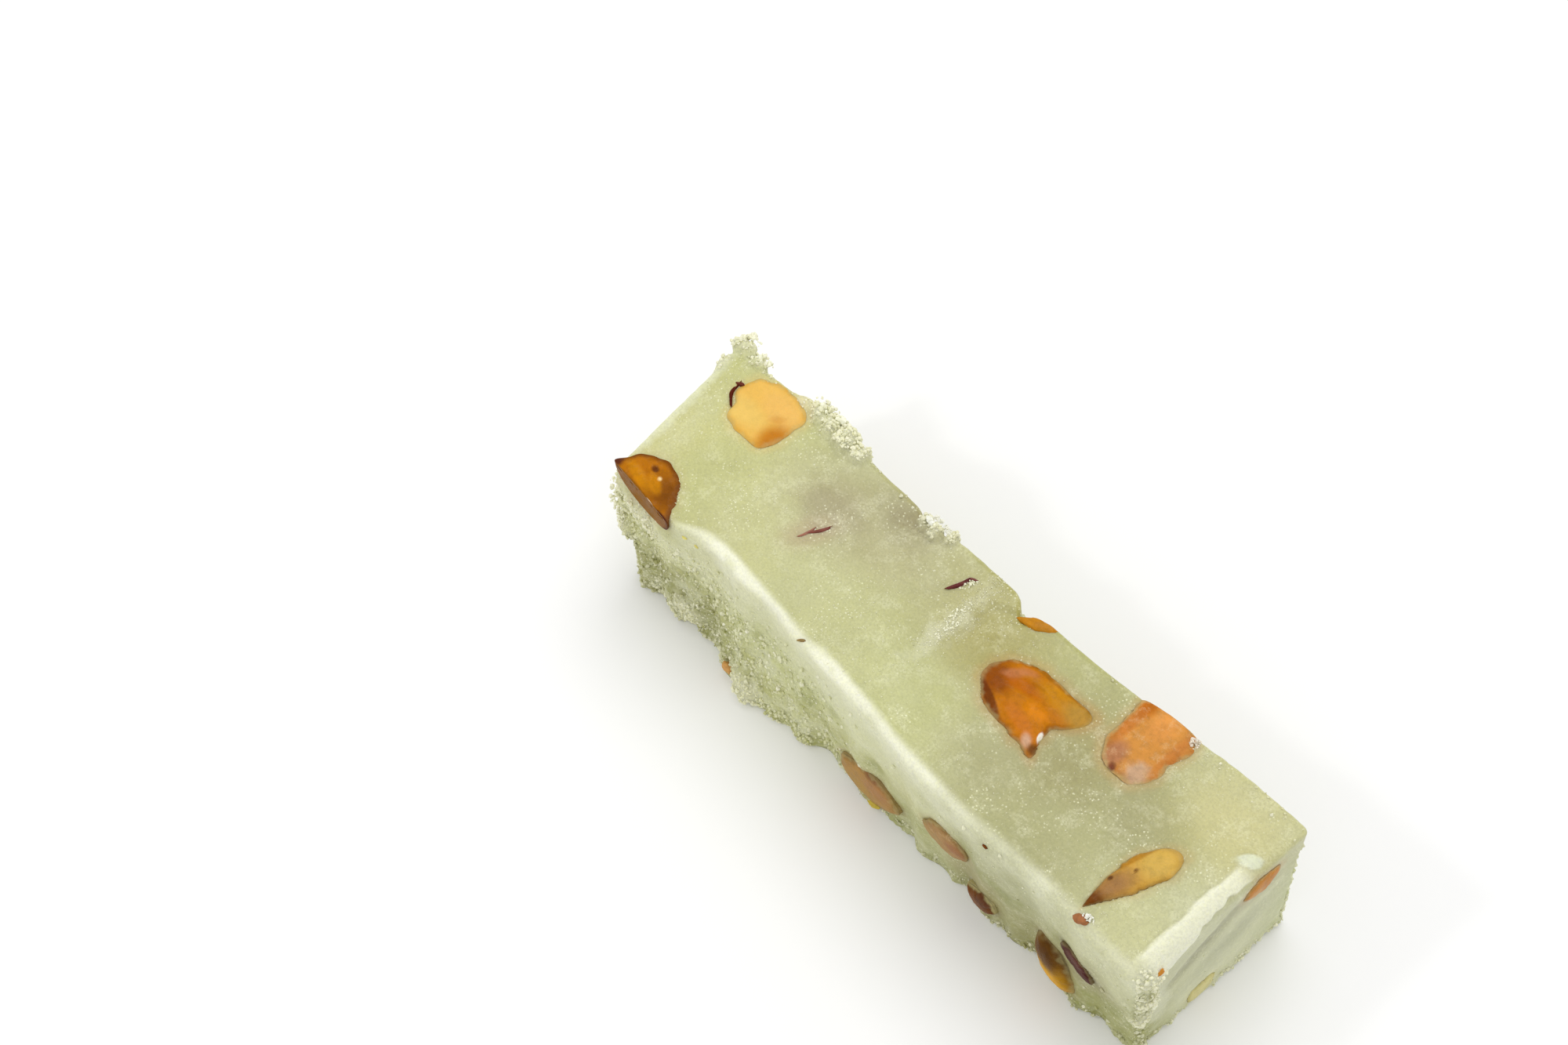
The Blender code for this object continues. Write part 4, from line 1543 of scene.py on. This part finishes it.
    def mottled_and_lit(self, points: np.ndarray, out: np.ndarray, tint: np.ndarray) -> np.ndarray:
        """Pales the cut side's shoulder and edge, partly as painted highlight, mottles its torn half, and
        paints shade low on it.

        Args:
            points: Points of the skin.
            out: Their outward directions.
            tint: Their colours so far.

        Returns:
            The new colours.
        """
        x, _, z = np.moveaxis(points, -1, 0)
        side = Face.LEFT.share(out, 0.35, 0.8)
        mottle = rough_cloud(points * np.array((0.8, 1.0, 1.0)), 3.4 * MM, 113, 4)
        # Painted highlight, partly pale whitening, on the upper part of the cut side's far half.
        shoulder = side * smooth(z, 13 * MM, 24 * MM) * smooth(x, -44 * MM, -24 * MM)
        shoulder = np.clip(shoulder * (0.75 + 0.8 * mottle) * 0.62, 0, 0.8)
        tint = laid(tint, self.tones.shoulder, shoulder)
        # Painted highlight, partly pale bloom, on the rounded top edge, by which way it faces.
        edge_highlight = bump(out[:, 1], -0.60, 0.40) * smooth(z, 21 * MM, 25.6 * MM)
        edge_highlight = edge_highlight * smooth(x, -38 * MM, -28 * MM)
        edge = edge_highlight * (1.15 + 0.7 * mottle) * (1.0 - 0.62 * smooth(x, 8 * MM, 26 * MM))
        tint = laid(tint, self.tones.edge, np.clip(edge, 0, 0.96))
        torn_half = side * smooth(x, 26 * MM, -4 * MM)
        tint = laid(tint, self.tones.torn, torn_half * smooth(mottle, 0.05, 0.5) * 0.6)
        # Painted shade: a darker olive mottle low on the cut side.
        torn_shade = side * smooth(z, 22 * MM, 14 * MM) * smooth(-mottle, 0.0, 0.5)
        return laid(tint, self.tones.torn_shade, torn_shade * 0.45)

    def build(self, kernels: tuple[Kernel, ...]) -> Skin:
        """Builds the slab, pressed in under the kernels that show, and tinted with their colour round
        them.

        Args:
            kernels: The kernels.

        Returns:
            Its finished skin.
        """
        shares, faces = box_skin(self.cells)
        rounded, out = self.rounded(shares)
        points = self.form.shaped(rounded)
        crumble = self.crumbliness(points, out)
        tint, lift = self.stained_and_lit(points, out, self.base_tint(points))
        tint = self.mottled_and_lit(points, out, tint)
        grown = np.zeros(len(points))
        knobbly = rough_cloud(points, 1.6 * MM, 161)
        for growth in GROWTHS:
            share = growth.share(points, knobbly)
            crumble = np.maximum(crumble, 0.9 * share)
            grown = np.maximum(grown, share * growth.rise * MM)
            tint = laid(tint, self.tones.knob, share * 0.75)
        middles, tones = pebbles(points, self.grain, 7)
        fine_middles, fine_tones = pebbles(points, self.fine_grain, 17)
        grains = (0.62 - middles) * 0.75 + (0.6 - fine_middles) * 0.34 + 0.30 * (tones - 0.5)
        relief = self.relief(points, out, crumble, grains) + lift + grown
        sunk = np.zeros(len(points))
        veined = rough_cloud(points, 1.3 * MM, 131)
        for kernel in kernels:
            share, beyond = kernel.reach(self.form, points)
            calm = 1.0 - smooth(beyond, 0.2, 1.3)
            relief = relief * (1.0 - 0.75 * calm)
            crumble = crumble * (1.0 - 0.6 * calm)
            sunk = np.maximum(sunk, 1.0 - smooth(share, 0.86, 0.965))
            stain = kernel.halo * (1.0 - smooth(beyond + 0.5 * veined, -0.2, 1.7))
            tint = blend(tint, linear(kernel.colour), stain[:, None])
        relief = relief - sunk * self.press
        pale = (tones * 0.6 + fine_tones * 0.4 - 0.30) * crumble * 0.8
        tint = laid(tint, self.tones.grain, np.clip(pale, 0, 1))
        # Painted shade: darker where the crumbly skin is sunk.
        tint = laid(tint, self.tones.gap, smooth(-relief / MM, 0.0, 0.55) * crumble * 0.25)
        points = points + out * relief[:, None]
        points[:, 2] = np.where(shares[:, 2] == 0, 0.0, np.maximum(points[:, 2], 0.0))
        piece = make_piece("nougat", points, faces, tint, self.finish.material("nougat_wax"), crumble)
        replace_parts(piece, "nougat_slab")
        return Skin(points, out, crumble * (1.0 - sunk), tint)


# ------------------------------------------------------------------------------------------- crumbs

CATCHING = {
    Face.TOP: (0.5, 0.8),
    Face.LEFT: (0.3, 0.7),
    Face.RIGHT: (0.2, 0.7),
    Face.NEAR: (0.3, 0.7),
    Face.FAR: (0.2, 0.7),
}


@dataclass
class Granules:
    """Sugar grains stuck on a face's torn parts, or on its wax, as joined rough blobs."""

    name: str
    count: int
    smallest: float
    largest: float
    seed: int
    face: Face
    whiteness: float
    on_wax: bool = False

    def chances(self, skin: Skin) -> np.ndarray:
        """How likely each point of the skin is to carry a grain.

        Args:
            skin: The slab's skin.

        Returns:
            Shares that add up to 1.
        """
        x, y, z = np.moveaxis(skin.points, -1, 0)
        weight = self.face.share(skin.out, *CATCHING[self.face])
        if self.on_wax:
            ridge = bump(x, 1.6 * MM, 1.5 * MM) * smooth(y, -4 * MM, 2 * MM)
            weight = weight * (0.05 + 16.0 * ridge + smooth(cloud(skin.points, 9 * MM, 83), 0.1, 0.5))
        else:
            weight = weight * skin.crumble**2.5
        weight = weight * (z > 0.25 * MM) * (skin.out[:, 2] > -0.4)
        return weight / weight.sum()

    def build(self, skin: Skin, material: bpy.types.Material) -> bpy.types.Object:
        """Scatters the grains: a twelve-cornered blob each, stretched, turned and set in the skin.

        Args:
            skin: The slab's skin.
            material: Their material.

        Returns:
            The grains, joined.
        """
        dice = np.random.default_rng(self.seed)
        chosen = dice.choice(len(skin.points), self.count, p=self.chances(skin))
        radius = blend(self.smallest, self.largest, dice.random(self.count) ** 2.2)
        height = radius[:, None] * dice.uniform(-0.5, 0.4, (self.count, 1))
        middle = skin.points[chosen] + dice.normal(0.0, 0.05 * MM, (self.count, 3))
        points, faces = joined_blobs(middle + skin.out[chosen] * height, radius, dice)
        white = np.clip(dice.normal(self.whiteness, 0.25, (self.count, 1)), 0.0, 1.0)
        tint = np.clip(blend(skin.tint[chosen] * 1.1, linear(CRUMB), white), 0.0, 0.95)
        tint = np.repeat(tint, len(points) // self.count, axis=0)
        piece = make_piece(self.name, points, faces, tint, material, smoothed=False)
        return piece


@dataclass(frozen=True)
class Pile:
    """A heap of crumbs on a face, in millimetres and degrees."""

    face: Face
    along: float
    across: float
    length: float
    width: float
    height: float
    turn: float
    count: int
    largest: float
    colour: Triple
    smallest: float = 0.16

    def places(
        self, form: BarForm, skin: Skin, dice: np.random.Generator
    ) -> tuple[np.ndarray, np.ndarray]:
        """Spreads its crumbs evenly over an oval, and heaps them towards its middle.

        Args:
            form: The bar's form.
            skin: The slab's skin.
            dice: The source of chance.

        Returns:
            The crumbs' middles and radii.
        """
        angle = dice.uniform(0.0, 2.0 * math.pi, self.count)
        share = np.sqrt(dice.random(self.count))
        u = share * np.cos(angle) * self.length / 2
        v = share * np.sin(angle) * self.width / 2
        w = (dice.random(self.count) - 0.15) * self.height * (1.0 - 0.7 * share**2)
        radius = blend(self.smallest, self.largest, dice.random(self.count) ** 1.6) * (1.0 - 0.3 * share)
        middle, axes = skin.seat(form, self.face, self.along, self.across, self.turn)
        return middle + np.stack((u, v, w), axis=-1) @ axes.T * MM, radius * MM


@dataclass
class Heaps:
    """Every heap of crumbs, joined into one piece."""

    piles: tuple[Pile, ...]
    seed: int = 77

    def build(self, form: BarForm, skin: Skin, material: bpy.types.Material) -> bpy.types.Object:
        """Builds the heaps' blobs, each a little paler or darker than its heap.

        Args:
            form: The bar's form.
            skin: The slab's skin.
            material: Their material.

        Returns:
            The heaps, joined.
        """
        dice = np.random.default_rng(self.seed)
        placed = [pile.places(form, skin, dice) for pile in self.piles]
        middles, radii = (np.concatenate(part) for part in zip(*placed))
        points, faces = joined_blobs(middles, radii, dice)
        colours = [np.tile(linear(pile.colour), (pile.count, 1)) for pile in self.piles]
        tint = np.clip(np.concatenate(colours) * dice.uniform(0.9, 1.06, (len(middles), 1)), 0.0, 0.95)
        tint = np.repeat(tint, len(points) // len(middles), axis=0)
        piece = make_piece("crumb_heaps", points, faces, tint, material, smoothed=False)
        return piece


@dataclass(frozen=True)
class Lump:
    """A crumb, flake or sliver: a rugged oval, in millimetres and degrees."""

    face: Face
    along: float
    across: float
    length: float
    width: float
    height: float
    turn: float
    colour: Triple
    sink: float
    rugged: float
    bow: float = 0.0

    def points(self, form: BarForm, skin: Skin, unit: np.ndarray, seed: int) -> np.ndarray:
        """Its surface: an ellipsoid swollen by noise, bowed sideways, and set on its face.

        Args:
            form: The bar's form.
            skin: The slab's skin.
            unit: Points of a sphere of radius 1.
            seed: Picks the noise.

        Returns:
            The sphere's points, moved.
        """
        swell = 1.0 + self.rugged * rough_cloud(unit + seed * 3.7, 0.8, seed) * 1.6
        local = unit * swell[:, None] * np.array((self.length, self.width, self.height)) / 2 * MM
        local[:, 1] += self.bow * MM * (unit[:, 0] ** 2 - 0.4)
        local[:, 2] += (0.5 - self.sink) * self.height * MM
        middle, axes = skin.seat(form, self.face, self.along, self.across, self.turn)
        placed = middle + local @ axes.T
        placed[:, 2] = np.maximum(placed[:, 2], 0.0)
        return placed


@dataclass
class LumpGroup:
    """Lumps of one finish, joined into one piece."""

    name: str
    slot: Slot
    lumps: tuple[Lump, ...]
    segments: int = 28
    rings: int = 16
    first_seed: int = 200

    def build(self, form: BarForm, skin: Skin, material: bpy.types.Material) -> bpy.types.Object:
        """Builds every lump and joins them.

        Args:
            form: The bar's form.
            skin: The slab's skin.
            material: Their material.

        Returns:
            The lumps, joined.
        """
        heading, tilt, quads, caps = globe(self.segments, self.rings)
        unit = directions(heading, tilt)
        places, tints, faces = [], [], []
        for number, lump in enumerate(self.lumps):
            start = number * len(unit)
            places.append(lump.points(form, skin, unit, self.first_seed + number))
            tints.append(np.broadcast_to(pigment(lump.colour, KERNEL_VEIL), unit.shape))
            faces += [quads + start, caps + start]
        piece = make_piece(self.name, np.concatenate(places), faces, np.concatenate(tints), material, 0.45)
        return piece


GRANULES = (
    Granules("grains_left", 2800, 0.12 * MM, 0.40 * MM, 1, Face.LEFT, 0.38),
    Granules("grains_right", 6000, 0.12 * MM, 0.44 * MM, 2, Face.RIGHT, 0.2),
    Granules("grains_far", 2600, 0.12 * MM, 0.44 * MM, 3, Face.FAR, 0.2),
    Granules("grains_near", 700, 0.10 * MM, 0.40 * MM, 4, Face.NEAR, 0.4),
    Granules("grains_top", 2600, 0.03 * MM, 0.11 * MM, 5, Face.TOP, 0.65, True),
    Granules("grains_rim", 700, 0.10 * MM, 0.40 * MM, 6, Face.TOP, 0.5),
)

PILES = (
    Pile(Face.TOP, -11.2, 12.6, 3.0, 2.4, 1.7, 60, 40, 0.56, WHITE),
    Pile(Face.TOP, -8.0, 13.2, 3.6, 0.9, 0.9, -18, 40, 0.34, WHITE),
    Pile(Face.TOP, -31.6, 14.4, 11.0, 1.6, 1.5, -6, 70, 0.60, CREAM),
    Pile(Face.TOP, -50.4, 15.6, 3.2, 2.8, 1.5, 10, 44, 0.66, CREAM),
    Pile(Face.TOP, -47.2, 15.4, 4.0, 1.5, 1.3, 6, 32, 0.6, CREAM),
    Pile(Face.TOP, -0.9, 9.8, 2.6, 1.0, 0.3, 72, 26, 0.26, CREAM),
    Pile(Face.TOP, 1.4, 4.6, 7.5, 1.9, 0.3, 98, 64, 0.24, CREAM),
    Pile(Face.LEFT, -48.6, 17.0, 2.6, 11.0, 1.6, 4, 110, 0.48, CREAM),
    Pile(Face.TOP, 34.2, 14.0, 1.5, 1.2, 1.3, 0, 26, 0.36, (240, 230, 212)),
    Pile(Face.TOP, 40.9, -11.4, 1.8, 1.2, 0.9, 20, 24, 0.34, WHITE),
    Pile(Face.NEAR, -10.7, 19.0, 1.5, 8.0, 0.7, 2, 40, 0.34, CREAM),
)

SKIN_LUMPS = (
    Lump(Face.TOP, -45.0, 7.6, 3.6, 0.5, 0.6, -58, (92, 46, 34), 0.3, 0.35, 0.7),
    Lump(Face.TOP, -45.5, 9.5, 1.4, 0.6, 0.5, 20, (112, 62, 52), 0.3, 0.35),
    Lump(Face.TOP, -20.4, 1.9, 3.4, 0.42, 0.3, 62, (140, 86, 76), 0.35, 0.3, 0.3),
    Lump(Face.TOP, -21.4, 0.2, 2.6, 0.34, 0.2, 76, (164, 116, 98), 0.4, 0.3, 0.2),
    Lump(Face.TOP, -1.9, 9.0, 3.7, 0.55, 0.45, 72, (108, 60, 60), 0.3, 0.3, 0.3),
    Lump(Face.TOP, -1.2, 10.6, 1.2, 0.4, 0.35, 30, (130, 84, 78), 0.3, 0.3),
    Lump(Face.TOP, 40.4, -12.1, 2.1, 1.5, 0.9, 25, (166, 112, 76), 0.5, 0.35),
    Lump(Face.LEFT, 25.4, 24.6, 0.8, 0.7, 0.4, 0, (120, 70, 30), 0.4, 0.3),
    Lump(Face.TOP, -10.0, -11.0, 1.3, 0.4, 0.3, 40, (150, 128, 84), 0.4, 0.3),
)

CHIP_LUMPS = (
    Lump(Face.TOP, 8.7, 12.4, 4.5, 1.7, 1.1, 24, (196, 134, 48), 0.5, 0.3),
    Lump(Face.NEAR, -9.6, 25.4, 1.1, 0.6, 0.5, 30, (206, 140, 64), 0.5, 0.3),
    Lump(Face.LEFT, -25.2, 2.6, 2.6, 1.8, 1.2, 20, (208, 158, 96), 0.45, 0.35),
    Lump(Face.LEFT, 3.2, 0.9, 2.4, 0.7, 0.9, 12, (206, 184, 84), 0.2, 0.3, 0.3),
    Lump(Face.LEFT, -33.2, 25.2, 0.9, 0.6, 0.3, 20, (234, 222, 130), 0.4, 0.3),
    Lump(Face.LEFT, -31.4, 24.6, 0.7, 0.5, 0.3, -30, (234, 222, 130), 0.4, 0.3),
)


# ------------------------------------------------------------------------------------------- studio


@dataclass(frozen=True)
class Lamp:
    """A soft square lamp that points at the bar."""

    name: str
    place: Triple
    size: float
    power: float

    def build(self) -> None:
        """Hangs it in the scene."""
        light = bpy.data.lights.new(self.name, "AREA")
        light.size = self.size
        light.energy = self.power
        holder = bpy.data.objects.new(self.name, light)
        holder.location = self.place
        holder.rotation_mode = "QUATERNION"
        holder.rotation_quaternion = (-Vector(self.place)).to_track_quat("-Z", "Y")
        bpy.context.scene.collection.objects.link(holder)


@dataclass
class Studio:
    """A pale floor, soft light from all round and above, and the camera."""

    target: Triple = (-31.84 * MM, 3.63 * MM, 13.5 * MM)
    azimuth: float = 57.18
    elevation: float = 57.88
    roll: float = -10.03
    distance: float = 301.7 * MM
    lens: float = 50.0
    sensor: float = 36.0
    sky: float = 0.75
    floor_colour: Triple = (250, 250, 250)
    floor_reach: float = 3.0
    floor_drop: float = 0.02 * MM
    overhead: Lamp = Lamp("overhead", (-0.04, 0.26, 0.72), 0.50, 2.0)
    glint: Lamp = Lamp("glint", (-0.20, -0.30, 0.42), 0.05, 0.30)

    def floor(self) -> None:
        """A wide square just under the bar."""
        colour = (*linear(self.floor_colour), 1.0)
        material = Shader("studio_floor").set(Base_Color=colour, Roughness=0.9)
        corners = ((-1, -1), (1, -1), (1, 1), (-1, 1))
        places = [(x * self.floor_reach, y * self.floor_reach, -self.floor_drop) for x, y in corners]
        mesh = bpy.data.meshes.new("floor")
        mesh.from_pydata(places, [], [(0, 1, 2, 3)])
        mesh.materials.append(material)
        plane = bpy.data.objects.new("floor", mesh)
        bpy.context.scene.collection.objects.link(plane)
        plane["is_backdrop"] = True

    def lights(self) -> None:
        """White surroundings, a big lamp overhead and a smaller one that gives the glints."""
        world = bpy.data.worlds.new("studio")
        world.use_nodes = True
        surroundings = world.node_tree.nodes["Background"]
        surroundings.inputs["Color"].default_value = (1.0, 1.0, 1.0, 1.0)
        surroundings.inputs["Strength"].default_value = self.sky
        bpy.context.scene.world = world
        self.overhead.build()
        self.glint.build()

    def camera(self) -> None:
        """A camera on a sphere round its target, rolled a little."""
        azimuth, elevation, roll = map(math.radians, (self.azimuth, self.elevation, self.roll))
        level = math.cos(elevation)
        back = Vector((math.sin(azimuth) * level, -math.cos(azimuth) * level, math.sin(elevation)))
        level_right = Vector((math.cos(azimuth), math.sin(azimuth), 0.0))
        level_up = back.cross(level_right)
        right = level_right * math.cos(roll) + level_up * math.sin(roll)
        rotation = Matrix((right, back.cross(right), back)).transposed().to_4x4()
        data = bpy.data.cameras.new("camera")
        data.lens = self.lens
        data.sensor_width = self.sensor
        data.clip_start, data.clip_end = 0.01, 20.0
        holder = bpy.data.objects.new("camera", data)
        holder.matrix_world = Matrix.Translation(Vector(self.target) + back * self.distance) @ rotation
        bpy.context.scene.collection.objects.link(holder)
        bpy.context.scene.camera = holder

    def build(self) -> None:
        """Sets up the floor, the lights, the camera and a plain view transform."""
        self.floor()
        self.lights()
        self.camera()
        bpy.context.scene.view_settings.view_transform = "Standard"


def corners_now() -> list[list[float]]:
    """The shown object's lowest and highest corner, as plain lists."""
    return [[float(value) for value in corner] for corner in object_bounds()]


def write_sizes(cad: list[list[float]]) -> None:
    """Works out the finished object's corners and how they differ from the CAD's in millimetres.

    Args:
        cad: The CAD's lowest and highest corner.
    """
    shown = corners_now()
    difference = [[(b - a) / MM for a, b in zip(*pair)] for pair in zip(cad, shown)]


def main() -> None:
    """Builds the slab, the kernels, the crumbs and the studio."""
    logging.basicConfig(level=logging.INFO, format="%(name)s: %(message)s")
    cad = corners_now()
    lowest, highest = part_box("nougat_slab")
    form = BarForm(length=highest.x - lowest.x)
    skin = NougatSlab(form).build(KERNELS)
    LOG.info("slab: %d points", len(skin.points))
    glossy = KernelFinish().material("kernel_gloss")
    dusty = KernelFinish(roughness=0.45, coat=0.05, powder=0.34).material("kernel_dusted")
    even = KernelFinish(streaks=0.18).material("kernel_even")
    finishes = {Slot.ROSY: dusty, Slot.PALE_GREEN: dusty, Slot.PALE: even}
    for kernel in KERNELS:
        kernel.build(form, finishes.get(kernel.slot, glossy))
    crumbs = NougatFinish(scatter=0.0, crumbly_roughness=0.75).material("nougat_crumbs")
    for granules in GRANULES:
        granules.build(skin, crumbs)
        LOG.info("%s: %d grains", granules.name, granules.count)
    Heaps(PILES).build(form, skin, crumbs)
    LOG.info("crumb_heaps: %d heaps", len(PILES))
    for name, slot, lumps in (
        ("skin_slivers", Slot.SKIN, SKIN_LUMPS),
        ("kernel_chips", Slot.ORANGE, CHIP_LUMPS),
    ):
        LumpGroup(name, slot, lumps).build(form, skin, glossy)
        LOG.info("%s: %d lumps", name, len(lumps))
    Studio().build()
    write_sizes(cad)
    LOG.info("finished")


if __name__ == "__main__":
    main()
